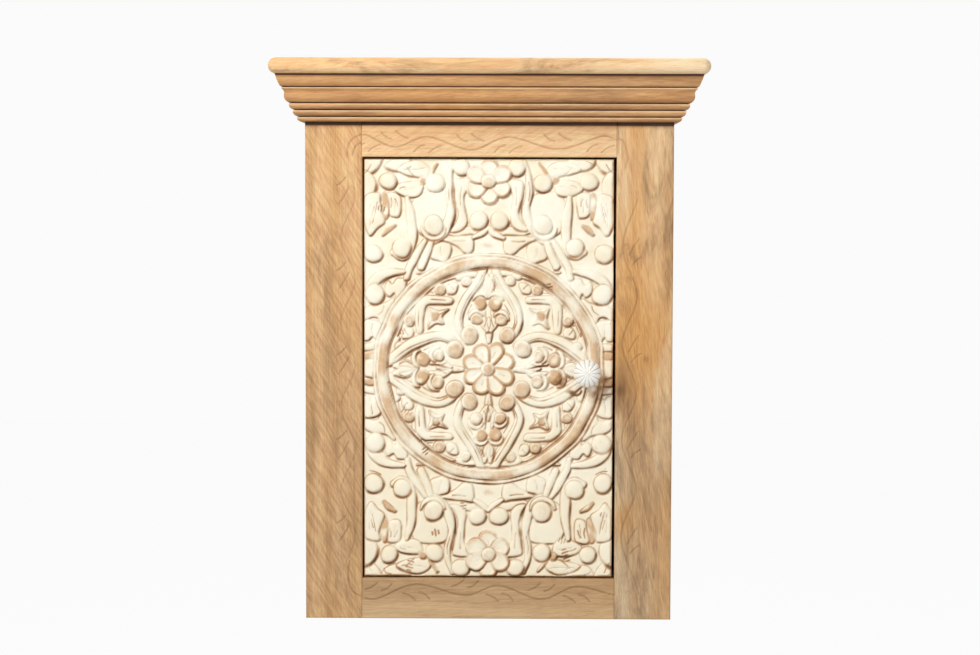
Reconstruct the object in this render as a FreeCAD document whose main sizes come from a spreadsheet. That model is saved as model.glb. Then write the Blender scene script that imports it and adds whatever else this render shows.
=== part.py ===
"""A wall cabinet of solid wood with one carved inset door, as a parametric document.

Sizes are in millimetres. The origin is the middle of the two wall-screw holes, on the wall plane.
+X is to the right of someone facing the cabinet, +Y goes into the wall and +Z is up.
"""

import FreeCAD, Part
import math
import os
import re

import Sketcher
from FreeCAD import Placement, Rotation, Vector

# Driving sizes, one cell of the sheet each
SIZES = {
    # Case
    "case_width": 403.0,
    "case_depth": 165.0,
    "case_height": 598.0,
    "side_thickness": 18.0,
    "board_thickness": 16.0,
    "shelf_thickness": 14.0,
    "shelf_setback": 18.0,
    "lower_shelf_drop": 76.9,
    "upper_shelf_rise": 78.1,
    "housing_depth": 6.0,
    "back_thickness": 6.0,
    "rebate_width": 9.0,
    "fit_gap": 0.2,
    # Hanging rail and its two wall-screw holes
    "hanging_rail_height": 60.0,
    "hanging_rail_thickness": 18.0,
    "wall_hole_radius": 2.75,
    "wall_hole_spacing": 256.0,
    # Square brads that hold the back
    "brad_width": 1.8,
    "brad_length": 22.0,
    "brad_edge": 4.5,
    # Face frame
    "frame_thickness": 22.0,
    "stile_width": 62.0,
    "bottom_rail_height": 44.5,
    "top_rail_height": 88.5,
    "tenon_length": 26.0,
    "tenon_thickness": 8.0,
    "tenon_shoulder": 8.0,
    "mortise_spare": 1.0,
    # Cap and cornice, members named from the bottom up
    "cap_thickness": 17.0,
    "cap_overhang": 37.0,
    "nose_flat": 0.4,
    "soffit_run": 5.0,
    "ovolo_run": 3.0,
    "ovolo_rise": 4.5,
    "ovolo_bulge": 1.0,
    "quirk_run": 1.1,
    "quirk_rise": 1.4,
    "bead_run": 2.8,
    "bead_rise": 5.8,
    "bead_bulge": 1.2,
    "ogee_run": 6.6,
    "ogee_rise": 15.6,
    "ogee_bulge": 0.9,
    "fascia_run": 5.0,
    "fascia_rise": 13.2,
    "fascia_bulge": 0.5,
    # Door
    "door_thickness": 22.0,
    "relief_depth": 6.6,
    "gap_left": 2.0,
    "gap_right": 3.0,
    "gap_top": 2.2,
    "gap_bottom": 2.0,
    # Carved roundel
    "ring_margin": 10.5,
    "ring_width": 17.0,
    "ring_height": 4.8,
    "ring_bevel": 3.6,
    "rib_width": 9.5,
    "rib_height": 4.4,
    "rib_bevel": 2.8,
    "rib_foot_out": 27.0,
    "rib_foot_up": 33.0,
    "rib_bulge": 7.0,
    "rib_turn_out": 31.5,
    "rib_turn_up": 69.0,
    "rib_tip_out": 8.0,
    "rosette_boss_radius": 6.5,
    "rosette_boss_rise": 5.2,
    "rosette_petal_radius": 8.6,
    "rosette_petal_rise": 3.6,
    "rosette_reach": 19.5,
    "berry_out": 22.0,
    "berry_up": 37.0,
    "berry_radius": 9.0,
    "berry_rise": 4.6,
    "bud_out": 13.5,
    "bud_up": 54.0,
    "bud_radius": 6.6,
    "bud_rise": 4.3,
    # Rosettes at the head and foot of the door
    "end_rosette_in": 25.5,
    "end_boss_radius": 7.0,
    "end_boss_rise": 5.2,
    "end_petal_radius": 8.2,
    "end_petal_rise": 3.6,
    "end_reach": 15.0,
    # Bosses and scroll stems round the roundel, placed from the door's edges
    "boss_sides": 8,
    "boss_rise": 5.0,
    "crown_boss_in": 107.0,
    "crown_boss_down": 10.6,
    "crown_boss_radius": 9.6,
    "shoulder_boss_in": 79.0,
    "shoulder_boss_down": 27.0,
    "shoulder_boss_radius": 9.6,
    "scroll_boss_in": 77.0,
    "scroll_boss_down": 72.0,
    "scroll_boss_radius": 10.8,
    "stem_boss_in": 42.0,
    "stem_boss_down": 97.0,
    "stem_boss_radius": 9.6,
    "edge_boss_in": 11.6,
    "edge_boss_down": 104.0,
    "edge_boss_radius": 10.6,
    "low_boss_in": 11.6,
    "low_boss_down": 149.0,
    "low_boss_radius": 10.6,
    "arch_boss_in": 125.0,
    "arch_boss_down": 67.6,
    "arch_boss_radius": 9.4,
    "outer_boss_in": 27.0,
    "outer_boss_down": 24.4,
    "outer_boss_radius": 9.2,
    "stem_width": 8.4,
    "stem_height": 3.7,
    "stem_bevel": 2.6,
    "stem_run": 44.0,
    "stem_lean": 3.0,
    "stem_curl": 10.5,
    # Leaves and straight stems in the corners: from the door's edges to the root, then to the tip
    "medallion_in": 75.0,
    "medallion_down": 33.4,
    "medallion_length": 56.0,
    "medallion_width": 36.0,
    "medallion_turn": -91.5,
    "medallion_rise": 2.1,
    "cane_in": 92.0,
    "cane_down": 7.4,
    "cane_length": 71.0,
    "cane_width": 9.0,
    "cane_turn": -92.4,
    "cane_rise": 3.3,
    "inner_cane_in": 105.5,
    "inner_cane_down": 20.4,
    "inner_cane_length": 58.0,
    "inner_cane_width": 9.4,
    "inner_cane_turn": -90.5,
    "inner_cane_rise": 3.4,
    "broad_leaf_in": 80.0,
    "broad_leaf_down": 86.9,
    "broad_leaf_length": 45.0,
    "broad_leaf_width": 18.0,
    "broad_leaf_turn": -167.8,
    "broad_leaf_rise": 3.0,
    "small_leaf_in": 76.0,
    "small_leaf_down": 90.4,
    "small_leaf_length": 28.0,
    "small_leaf_width": 15.0,
    "small_leaf_turn": -124.8,
    "small_leaf_rise": 2.8,
    "short_lobe_in": 34.5,
    "short_lobe_down": 33.4,
    "short_lobe_length": 31.0,
    "short_lobe_width": 13.0,
    "short_lobe_turn": -90.9,
    "short_lobe_rise": 2.9,
    "long_lobe_in": 10.0,
    "long_lobe_down": 30.4,
    "long_lobe_length": 53.0,
    "long_lobe_width": 15.0,
    "long_lobe_turn": -86.8,
    "long_lobe_rise": 3.1,
    "upper_tuft_in": 72.0,
    "upper_tuft_down": 18.4,
    "upper_tuft_length": 40.0,
    "upper_tuft_width": 14.0,
    "upper_tuft_turn": 18.9,
    "upper_tuft_rise": 3.2,
    "lower_tuft_in": 67.0,
    "lower_tuft_down": 25.4,
    "lower_tuft_length": 38.0,
    "lower_tuft_width": 13.0,
    "lower_tuft_turn": -21.3,
    "lower_tuft_rise": 3.0,
    "side_leaf_in": 15.0,
    "side_leaf_down": 178.4,
    "side_leaf_length": 28.0,
    "side_leaf_width": 12.0,
    "side_leaf_turn": 62.5,
    "side_leaf_rise": 3.1,
    "rim_leaf_in": 13.0,
    "rim_leaf_down": 210.4,
    "rim_leaf_length": 33.0,
    "rim_leaf_width": 12.0,
    "rim_leaf_turn": 86.5,
    "rim_leaf_rise": 2.9,
    "edge_stem_in": 55.0,
    "edge_stem_down": 114.4,
    "edge_stem_length": 56.0,
    "edge_stem_width": 8.0,
    "edge_stem_turn": -22.0,
    "edge_stem_rise": 3.2,
    # Bands and stars between the petals, from the door's middle to the root, then to the tip
    "head_band_out": 39.0,
    "head_band_up": 73.5,
    "head_band_length": 32.0,
    "head_band_width": 12.0,
    "head_band_turn": 0.0,
    "head_band_rise": 3.3,
    "side_band_out": 74.0,
    "side_band_up": 43.0,
    "side_band_length": 29.0,
    "side_band_width": 11.0,
    "side_band_turn": 90.0,
    "side_band_rise": 3.2,
    "star_out": 46.0,
    "star_up": 46.5,
    "star_length": 32.0,
    "star_width": 17.0,
    "star_turn": 45.0,
    "star_rise": 3.5,
    # Knob
    "knob_in": 29.0,
    "knob_drop": 3.0,
    "knob_radius": 15.5,
    "knob_length": 20.0,
    "knob_neck": 6.6,
    "knob_flutes": 14,
    "flute_depth": 1.5,
    "collar_radius": 7.6,
    "collar_height": 4.0,
    "seat_radius": 9.2,
    "seat_rise": 5.6,
    "stud_radius": 2.0,
    "stud_grip": 10.0,
    "stud_tail": 1.6,
    "stud_gap": 0.2,
    "washer_radius": 5.0,
    "washer_thickness": 1.0,
    "nut_flats": 7.0,
    "nut_thickness": 3.2,
    # Pivots
    "pivot_inset": 20.0,
    "pivot_depth": 7.4,
    "pin_radius": 3.0,
    "pin_grip": 24.0,
    "pin_end_gap": 1.0,
    "press_gap": 0.02,
    "running_gap": 0.05,
    "bush_radius": 4.5,
    "bush_length": 15.0,
    "thrust_radius": 6.5,
    "thrust_gap": 0.1,
    # Magnetic catch under the upper shelf, and its strike on the door
    "catch_in": 27.0,
    "catch_gap": 0.3,
    "catch_width": 16.0,
    "catch_length": 44.0,
    "catch_nose": 15.0,
    "catch_height": 13.0,
    "catch_foot": 3.0,
    "magnet_width": 12.0,
    "magnet_depth": 10.0,
    "magnet_height": 5.0,
    "pole_thickness": 1.2,
    "pole_proud": 1.0,
    "strike_width": 16.0,
    "strike_height": 26.0,
    "strike_thickness": 1.2,
}

# Places that several pieces share, as expressions of the sizes
FOOT = "(hanging_rail_height / 2 + board_thickness - case_height)"
HEAD = "(hanging_rail_height / 2 + board_thickness)"
SIDE_DEPTH = "(case_depth - frame_thickness)"
INNER_HALF = "(case_width / 2 - side_thickness)"
OPENING_HALF = "(case_width / 2 - stile_width)"
DOOR_WIDTH = f"(2 * {OPENING_HALF} - gap_left - gap_right)"
DOOR_HEIGHT = "(case_height - bottom_rail_height - top_rail_height - gap_bottom - gap_top)"
DOOR_X = "((gap_left - gap_right) / 2)"
DOOR_Y = "(relief_depth - case_depth)"
DOOR_MIDDLE = f"(bottom_rail_height + gap_bottom + {DOOR_HEIGHT} / 2)"
DOOR_Z = f"({FOOT} + {DOOR_MIDDLE})"
LOWER_SHELF = f"({DOOR_MIDDLE} - lower_shelf_drop)"
UPPER_SHELF = f"({DOOR_MIDDLE} + upper_shelf_rise)"
SLAB = "(door_thickness - relief_depth)"
DOOR_BACK = "(door_thickness - case_depth)"
PIVOT_X = f"(gap_left + pivot_inset - {OPENING_HALF})"
PIVOT_Y = f"({DOOR_Y} + pivot_depth)"
KNOB_X = f"({DOOR_X} + {DOOR_WIDTH} / 2 - knob_in)"
KNOB_Y = f"({DOOR_Y} - seat_rise)"
KNOB_Z = f"({DOOR_Z} - knob_drop)"
RING_RADIUS = f"({DOOR_WIDTH} / 2 - ring_margin - ring_width / 2)"
CATCH_X = f"({OPENING_HALF} - catch_in)"
CATCH_Y = f"({DOOR_BACK} + strike_thickness + catch_gap + pole_proud)"
CATCH_Z = f"({FOOT} + {UPPER_SHELF} - shelf_thickness - catch_height)"
EMBED = "1"

# What fills each corner of the carving, as right and up signs and the names of the forms
CORNERS = ((1, 1), (-1, 1), (-1, -1), (1, -1))
BOSSES = ("crown", "shoulder", "scroll", "stem", "edge", "low", "arch", "outer")
LEAVES = (
    "medallion",
    "cane",
    "inner_cane",
    "broad_leaf",
    "small_leaf",
    "short_lobe",
    "long_lobe",
    "upper_tuft",
    "lower_tuft",
    "side_leaf",
    "rim_leaf",
    "edge_stem",
)

CELL_NAMES = re.compile(r"\b(" + "|".join(SIZES) + r")\b")

doc = FreeCAD.newDocument("wall_cabinet")
sheet = doc.addObject("Spreadsheet::Sheet", "sizes")
parts = []


def fill_sheet():
    """Writes each driving size to a cell with its name as the alias."""
    for row, (name, size) in enumerate(SIZES.items(), start=1):
        sheet.set(f"A{row}", name)
        sheet.set(f"B{row}", str(size))
        sheet.setAlias(f"B{row}", name)
    doc.recompute()


def cells(text):
    """The expression with each size's name turned into its cell."""
    return CELL_NAMES.sub(r"sizes.\1", text)


def value(text):
    """What an expression of the sizes comes to."""
    return float(sheet.evalExpression(cells(text)))


def bind(target, sizes):
    """Ties an object's properties to expressions of the sizes."""
    for path, text in sizes.items():
        target.setExpression(path, cells(text))


def place(target, corner):
    """Ties an object's position to three expressions."""
    bind(target, {f"Placement.Base.{axis}": text for axis, text in zip("xyz", corner)})


def new_body(label, corner):
    """An empty body of the assembly, at a place in the part's frame."""
    body = doc.addObject("PartDesign::Body", label)
    body.Label = label
    place(body, corner)
    parts.append(body)
    return body


def origin_feature(body, role):
    """A body's own origin plane or axis."""
    return next(item for item in body.Origin.OriginFeatures if item.Role == role)


def attach(feature, body, role, offset):
    """Lays a sketch or a primitive on one of the body's origin planes, moved by an offset."""
    feature.AttachmentSupport = [(origin_feature(body, role), "")]
    feature.MapMode = "FlatFace"
    bind(feature, {f"AttachmentOffset.Base.{axis}": text for axis, text in zip("xyz", offset)})


def sketch_on(body, role, offset=("0", "0", "0")):
    """A new sketch on one of the body's origin planes."""
    sketch = body.newObject("Sketcher::SketchObject", "sketch")
    attach(sketch, body, role, offset)
    return sketch


def hold(sketch, kind, name, text, *picks):
    """Adds a named constraint that follows an expression."""
    index = sketch.addConstraint(Sketcher.Constraint(kind, *picks, value(text)))
    sketch.renameConstraint(index, name)
    sketch.setExpression(f"Constraints.{name}", cells(text))


def hold_point(sketch, name, item, end, x, y):
    """Ties a point of the sketch to its two coordinates."""
    hold(sketch, "DistanceX", f"{name}_x", x, -1, 1, item, end)
    hold(sketch, "DistanceY", f"{name}_y", y, -1, 1, item, end)


def middle_by_bulge(start, end, bulge):
    """The middle of an arc that rises to the right of its chord by the bulge."""
    chord = (end - start).normalize()
    return (start + end) * 0.5 + Vector(chord.y, -chord.x, 0) * bulge


def middle_by_tangent(start, end, heading):
    """The middle of the arc from start to end that leaves start along a heading."""
    chord = end - start
    turn = math.atan2(heading.x * chord.y - heading.y * chord.x, heading.dot(chord))
    return middle_by_bulge(start, end, chord.Length / 2 * math.tan(turn / 2))


def arc_heading(start, middle, end):
    """The direction in which an arc reaches its end."""
    chord = (end - start).normalize()
    rise = middle - (start + end) * 0.5
    side = rise.dot(Vector(chord.y, -chord.x, 0))
    turn = 2 * math.atan2(side, (end - start).Length / 2)
    return Rotation(Vector(0, 0, 1), math.degrees(turn)).multVec(chord)


def draw(sketch, corners, bulges=None, closed=True):
    """Draws lines and arcs through corners.

    Each corner is a pair of expressions. bulges gives, by the index of the corner that an arc starts
    from, how far it rises to the right of its chord, or the word smooth for an arc that goes on from
    the stretch before it without a kink.
    """
    bulges = bulges or {}
    points = [Vector(value(x), value(y), 0) for x, y in corners]
    count = len(points) if closed else len(points) - 1
    runs = []
    heading = None
    for index in range(count):
        start = points[index]
        end = points[(index + 1) % len(points)]
        bulge = bulges.get(index)
        if bulge is None:
            item = sketch.addGeometry(Part.LineSegment(start, end), False)
            heading = (end - start).normalize()
        else:
            if bulge == "smooth":
                middle = middle_by_tangent(start, end, heading)
            else:
                middle = middle_by_bulge(start, end, value(bulge))
            item = sketch.addGeometry(Part.Arc(start, middle, end), False)
            heading = arc_heading(start, middle, end)
        near, far = (sketch.getPoint(item, end_id).distanceToPoint(start) for end_id in (1, 2))
        runs.append((item, 1, 2) if near < far else (item, 2, 1))
    for index, (item, first, last) in enumerate(runs):
        hold_point(sketch, f"p{index}", item, first, *corners[index])
        bulge = bulges.get(index)
        if bulge == "smooth":
            before = runs[index - 1]
            sketch.addConstraint(Sketcher.Constraint("Tangent", before[0], before[2], item, first))
        elif index or closed:
            before = runs[index - 1]
            sketch.addConstraint(Sketcher.Constraint("Coincident", before[0], before[2], item, first))
        if bulge not in (None, "smooth"):
            (x0, y0), (x1, y1) = corners[index], corners[(index + 1) % len(corners)]
            chord = f"((({x1}) - ({x0}))^2 + (({y1}) - ({y0}))^2)"
            hold(sketch, "Radius", f"r{index}", f"{chord} / (8 * abs({bulge})) + abs({bulge}) / 2", item)
    if not closed:
        hold_point(sketch, "end", runs[-1][0], runs[-1][2], *corners[-1])


def rectangle(width, height):
    """The corners of a rectangle from the sketch's own origin."""
    return [("0", "0"), (width, "0"), (width, height), ("0", height)]


def circles(sketch, centres, radius):
    """Draws equal circles at centres given as pairs of expressions."""
    for index, (x, y) in enumerate(centres):
        circle = Part.Circle(Vector(value(x), value(y), 0), Vector(0, 0, 1), value(radius))
        item = sketch.addGeometry(circle, False)
        hold_point(sketch, f"c{index}", item, 3, x, y)
        hold(sketch, "Radius", f"r{index}", radius, item)


def pad(body, sketch, length):
    """Raises a sketch along its normal."""
    feature = body.newObject("PartDesign::Pad", "pad")
    feature.Profile = sketch
    bind(feature, {"Length": length})
    body.Tip = feature


def cut(body, sketch, depth, along_normal=False):
    """Sinks a sketch into the body, against its normal or along it."""
    feature = body.newObject("PartDesign::Pocket", "cut")
    feature.Profile = sketch
    feature.Reversed = along_normal
    bind(feature, {"Length": depth})
    body.Tip = feature


def revolve(body, sketch):
    """Turns a sketch round its own vertical axis."""
    feature = body.newObject("PartDesign::Revolution", "turned")
    feature.Profile = sketch
    feature.ReferenceAxis = (sketch, ["V_Axis"])
    body.Tip = feature


def board(label, corner, size):
    """A plain board from its low corner and its lengths along X, Y and Z."""
    body = new_body(label, corner)
    sketch = sketch_on(body, "XY_Plane")
    draw(sketch, rectangle(size[0], size[1]))
    pad(body, sketch, size[2])
    return body


def cut_box(body, corner, size):
    """Cuts a housing, a rebate or a mortise out of a board, in the board's own frame."""
    sketch = sketch_on(body, "XY_Plane", corner)
    draw(sketch, rectangle(size[0], size[1]))
    cut(body, sketch, size[2], along_normal=True)


def drill_back(body, centres, radius, depth):
    """Drills holes that start on the body's own XZ plane and go towards the wall."""
    sketch = sketch_on(body, "XZ_Plane")
    circles(sketch, centres, radius)
    cut(body, sketch, depth)


def rod(radius, length, corner, tilt):
    """A round bar from its foot, tilted about X from upright."""
    bar = doc.addObject("Part::Cylinder", "rod")
    bind(bar, {"Radius": radius, "Height": length})
    bar.Placement = Placement(Vector(), Rotation(Vector(1, 0, 0), tilt))
    place(bar, corner)
    return bar


def brad_heights():
    """The heights of the brads above the foot of the case, one between each board and the next."""
    levels = ("bottom_rail_height", LOWER_SHELF, UPPER_SHELF, "(case_height - board_thickness)")
    spans = zip(levels, levels[1:])
    return [f"(({low} + {high} - shelf_thickness - brad_width) / 2)" for low, high in spans]


def make_sides():
    """The two side panels, housed for the boards and shelves and rebated for the back."""
    housings = [
        ("0", "bottom_rail_height - board_thickness", "board_thickness"),
        ("0", "case_height - board_thickness", "board_thickness"),
        ("shelf_setback", f"{LOWER_SHELF} - shelf_thickness", "shelf_thickness"),
        ("shelf_setback", f"{UPPER_SHELF} - shelf_thickness", "shelf_thickness"),
    ]
    brad_line = "(rebate_width - brad_edge)"
    sides = (
        ("left_side_panel", "-case_width / 2", "side_thickness", "-1", f"side_thickness - {brad_line}"),
        ("right_side_panel", INNER_HALF, "0", "0", brad_line),
    )
    for label, left, inner, reach, brad_x in sides:
        body = board(
            label, (left, f"-{SIDE_DEPTH}", FOOT), ("side_thickness", SIDE_DEPTH, "case_height")
        )
        for front, low, height in housings:
            corner = (f"{inner} + {reach} * housing_depth", front, low)
            cut_box(body, corner, ("housing_depth", f"{SIDE_DEPTH} - back_thickness - {front}", height))
        cut_box(
            body,
            (f"{inner} + {reach} * rebate_width", f"{SIDE_DEPTH} - back_thickness", "0"),
            ("rebate_width", "back_thickness", "case_height"),
        )
        for height in brad_heights():
            cut_box(
                body,
                (f"{brad_x} - brad_width / 2", f"{SIDE_DEPTH} - brad_length", height),
                ("brad_width", "brad_length - back_thickness", "brad_width"),
            )


def make_case_boards():
    """The top, bottom and shelves, which end in the housings of the sides."""
    half = f"({INNER_HALF} + housing_depth - fit_gap)"
    rows = (
        ("carcass_bottom_board", "0", "bottom_rail_height - board_thickness", "board_thickness"),
        ("carcass_top_board", "0", "case_height - board_thickness", "board_thickness"),
        ("lower_shelf", "shelf_setback", f"{LOWER_SHELF} - shelf_thickness", "shelf_thickness"),
        ("upper_shelf", "shelf_setback", f"{UPPER_SHELF} - shelf_thickness", "shelf_thickness"),
    )
    for label, front, low, thickness in rows:
        board(
            label,
            (f"-{half}", f"{front} - {SIDE_DEPTH}", f"{FOOT} + {low}"),
            (f"2 * {half}", f"{SIDE_DEPTH} - back_thickness - {front}", thickness),
        )


def make_back():
    """The back panel, its brads and the hanging rail, with the two wall-screw holes through."""
    half = f"({INNER_HALF} + rebate_width - fit_gap)"
    panel = board(
        "back_panel", (f"-{half}", "-back_thickness", FOOT), (f"2 * {half}", "back_thickness", "case_height")
    )
    wall_holes = [(f"{half} + {side} * wall_hole_spacing / 2", f"-{FOOT}") for side in (-1, 1)]
    drill_back(panel, wall_holes, "wall_hole_radius", "back_thickness")
    brad_line = f"({INNER_HALF} + rebate_width - brad_edge)"
    brad_left = [f"({side} * {brad_line} - brad_width / 2)" for side in (-1, 1)]
    for left in brad_left:
        for height in brad_heights():
            corner = (f"{half} + {left}", "0", height)
            cut_box(panel, corner, ("brad_width", "back_thickness", "brad_width"))
    rail = board(
        "hanging_rail",
        (f"-{INNER_HALF}", "-back_thickness - hanging_rail_thickness", "-hanging_rail_height / 2"),
        (f"2 * {INNER_HALF}", "hanging_rail_thickness", "hanging_rail_height"),
    )
    rail_holes = [
        (f"{INNER_HALF} + {side} * wall_hole_spacing / 2", "hanging_rail_height / 2") for side in (-1, 1)
    ]
    drill_back(rail, rail_holes, "wall_hole_radius", "hanging_rail_thickness")
    brads = []
    for left in brad_left:
        for height in brad_heights():
            brad = doc.addObject("Part::Box", "brad")
            bind(brad, {"Length": "brad_width", "Width": "brad_length", "Height": "brad_width"})
            place(brad, (left, "-brad_length", f"{FOOT} + {height}"))
            brads.append(brad)
    group = doc.addObject("Part::Compound", "back_panel_brads")
    group.Label = "back_panel_brads"
    group.Links = brads
    parts.append(group)


def make_face_frame():
    """Two mortised stiles and two tenoned rails drilled for the pivot bushes."""
    mortise = "tenon_length + mortise_spare"
    cheek = "(frame_thickness - tenon_thickness) / 2"
    rails = (
        ("bottom_rail", "0", "bottom_rail_height"),
        ("top_rail", "(case_height - top_rail_height)", "top_rail_height"),
    )
    stiles = (
        ("left_stile", "-case_width / 2", f"stile_width - ({mortise})"),
        ("right_stile", OPENING_HALF, "0"),
    )
    for label, left, start in stiles:
        body = board(label, (left, "-case_depth", FOOT), ("stile_width", "frame_thickness", "case_height"))
        for _, low, height in rails:
            cut_box(
                body,
                (start, cheek, f"{low} + tenon_shoulder"),
                (mortise, "tenon_thickness", f"{height} - 2 * tenon_shoulder"),
            )
    hole = [("gap_left + pivot_inset", "relief_depth + pivot_depth")]
    for label, low, height in rails:
        body = board(
            label,
            (f"-{OPENING_HALF}", "-case_depth", f"{FOOT} + {low}"),
            (f"2 * {OPENING_HALF}", "frame_thickness", height),
        )
        tenon = sketch_on(body, "YZ_Plane", (cheek, "tenon_shoulder", "-tenon_length"))
        draw(tenon, rectangle("tenon_thickness", f"{height} - 2 * tenon_shoulder"))
        pad(body, tenon, f"2 * {OPENING_HALF} + 2 * tenon_length")
        upper = label == "top_rail"
        sketch = sketch_on(body, "XY_Plane", ("0", "0", "0" if upper else height))
        circles(sketch, hole, "bush_radius + press_gap")
        cut(body, sketch, "bush_length", along_normal=upper)


def cornice_profile():
    """The cornice's section from its back foot: corners as projection and rise, and its arcs."""
    steps = [
        ("soffit_run", "0", None),
        ("ovolo_run", "ovolo_rise", "ovolo_bulge"),
        ("0", "quirk_rise", None),
        ("quirk_run", "0", None),
        ("bead_run", "bead_rise", "bead_bulge"),
        ("0", "quirk_rise", None),
        ("quirk_run", "0", None),
        ("bead_run", "bead_rise", "bead_bulge"),
        ("0", "quirk_rise", None),
        ("quirk_run", "0", None),
        ("ogee_run / 2", "ogee_rise / 2", "ogee_bulge"),
        ("ogee_run / 2", "ogee_rise / 2", "-ogee_bulge"),
        ("0", "quirk_rise", None),
        ("quirk_run", "0", None),
        ("fascia_run", "fascia_rise", "fascia_bulge"),
    ]
    corners = [("0", "0")]
    bulges = {}
    for index, (run, rise, bulge) in enumerate(steps):
        before = corners[-1]
        corners.append((f"{before[0]} + {run}", f"{before[1]} + {rise}"))
        if bulge:
            bulges[index] = bulge
    projection, height = corners[-1]
    corners.append(("0", height))
    return corners, bulges, f"({projection})", f"({height})"


def make_cornice():
    """The front moulding and its two returns, mitred where they meet and square at the wall."""
    corners, bulges, projection, height = cornice_profile()
    low = f"{HEAD} - {height}"
    half = f"(case_width / 2 + {projection})"
    front = new_body("cornice_front", ("0", "-case_depth", low))
    section = sketch_on(front, "YZ_Plane", ("0", "0", f"-{half}"))
    mirrored = {index: f"-({bulge})" for index, bulge in bulges.items()}
    draw(section, [(f"-({x})", y) for x, y in corners], mirrored)
    pad(front, section, f"2 * {half}")
    for side in (-1, 1):
        mitre = sketch_on(front, "XY_Plane")
        draw(
            mitre,
            [
                (f"{side} * case_width / 2", "0"),
                (f"{side} * {half}", f"-{projection}"),
                (f"{side} * ({half} + {EMBED})", f"-{projection}"),
                (f"{side} * ({half} + {EMBED})", "0"),
            ],
        )
        cut(front, mitre, height, along_normal=True)
    for label, side in (("cornice_left_return", -1), ("cornice_right_return", 1)):
        body = new_body(label, (f"{side} * case_width / 2", "0", low))
        section = sketch_on(body, "XZ_Plane")
        outward = {index: f"{side} * ({bulge})" for index, bulge in bulges.items()}
        draw(section, [(f"{side} * ({x})", y) for x, y in corners], outward)
        pad(body, section, f"case_depth + {projection}")
        mitre = sketch_on(body, "XY_Plane")
        draw(
            mitre,
            [
                ("0", "-case_depth"),
                ("0", f"-(case_depth + {projection} + {EMBED})"),
                (f"{side} * {projection}", f"-(case_depth + {projection} + {EMBED})"),
                (f"{side} * {projection}", f"-(case_depth + {projection})"),
            ],
        )
        cut(body, mitre, height, along_normal=True)


def make_cap():
    """The cap board, with a half-round nose along its front and ends."""
    half = "(case_width / 2 + cap_overhang)"
    body = board(
        "cap_board",
        (f"-{half}", "-case_depth - cap_overhang", HEAD),
        (f"2 * {half}", "case_depth + cap_overhang", "cap_thickness"),
    )
    doc.recompute()
    blank = body.Tip
    wall_side = value("case_depth + cap_overhang")
    nose_edges = [
        f"Edge{index}"
        for index, edge in enumerate(blank.Shape.Edges, start=1)
        if edge.BoundBox.ZLength < 1e-3 and edge.BoundBox.YMin < wall_side - 1e-3
    ]
    nose = body.newObject("PartDesign::Fillet", "nose")
    nose.Base = (blank, nose_edges)
    bind(nose, {"Radius": "(cap_thickness - nose_flat) / 2"})
    body.Tip = nose


def boss(x, z, radius, rise):
    """A boss on the ground of the carving, cut as a many-sided block with its top bevelled off."""
    body = doc.addObject("PartDesign::Body", "boss")
    place(body, (f"{DOOR_X} + {x}", DOOR_Y, f"{DOOR_Z} + {z}"))
    block = body.newObject("PartDesign::AdditivePrism", "block")
    attach(block, body, "XZ_Plane", ("0", "0", f"-{EMBED}"))
    bind(block, {"Polygon": "boss_sides", "Circumradius": radius, "Height": f"{rise} + {EMBED}"})
    block.recompute()
    heights = [face.CenterOfMass.y for face in block.Shape.Faces]
    bevel = body.newObject("PartDesign::Chamfer", "bevel")
    bevel.Base = (block, [f"Face{heights.index(min(heights)) + 1}"])
    bind(bevel, {"Size": f"min({rise} + {EMBED} / 2; ({radius}) * 4 / 5)"})
    body.Tip = bevel
    return body


def blade(name, x, z, right, top):
    """A flat-topped leaf, pointed at both ends, from its root towards its own turn of the corner."""
    body = doc.addObject("PartDesign::Body", "blade")
    body.Placement = Placement(Vector(), Rotation(Vector(0, 1, 0), 30))
    place(body, (f"{DOOR_X} + {x}", DOOR_Y, f"{DOOR_Z} + {z}"))
    bind(body, {"Placement.Rotation.Angle": f"{-right * top} * {name}_turn + {0 if right > 0 else 180}"})
    outline = sketch_on(body, "XZ_Plane", ("0", "0", f"-{EMBED}"))
    swell, taper = f"{name}_length / 3", f"{name}_length * 3 / 4"
    half, slim = f"{name}_width / 2", f"{name}_width * 2 / 5"
    corners = [
        ("0", "0"),
        (swell, f"-{half}"),
        (taper, f"-{slim}"),
        (f"{name}_length", "0"),
        (taper, slim),
        (swell, half),
    ]
    draw(outline, corners)
    pad(body, outline, f"{name}_rise + {EMBED}")
    return body


def rib(corners, bulges, width, height, bevel):
    """A bevelled rib that follows a line of arcs on the ground of the carving."""
    body = doc.addObject("PartDesign::Body", "rib")
    place(body, (DOOR_X, DOOR_Y, DOOR_Z))
    path = sketch_on(body, "XZ_Plane")
    draw(path, corners, bulges, closed=False)
    doc.recompute([path])
    section = body.newObject("Sketcher::SketchObject", "section")
    section.AttachmentSupport = [(path, "Edge1")]
    section.MapMode = "FrenetNB"
    outward = f"abs({bulges[0]}) / ({bulges[0]})"
    foot, top = f"-{EMBED} * {outward}", f"({height}) * {outward}"
    half, flat = f"({width}) / 2", f"(({width}) / 2 - ({bevel}))"
    draw(section, [(half, foot), (flat, top), (f"-{flat}", top), (f"-({half})", foot)])
    feature = body.newObject("PartDesign::AdditivePipe", "sweep")
    feature.Profile = section
    feature.Spine = (path, [f"Edge{index + 1}" for index in range(len(corners) - 1)])
    body.Tip = feature
    return body


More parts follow.
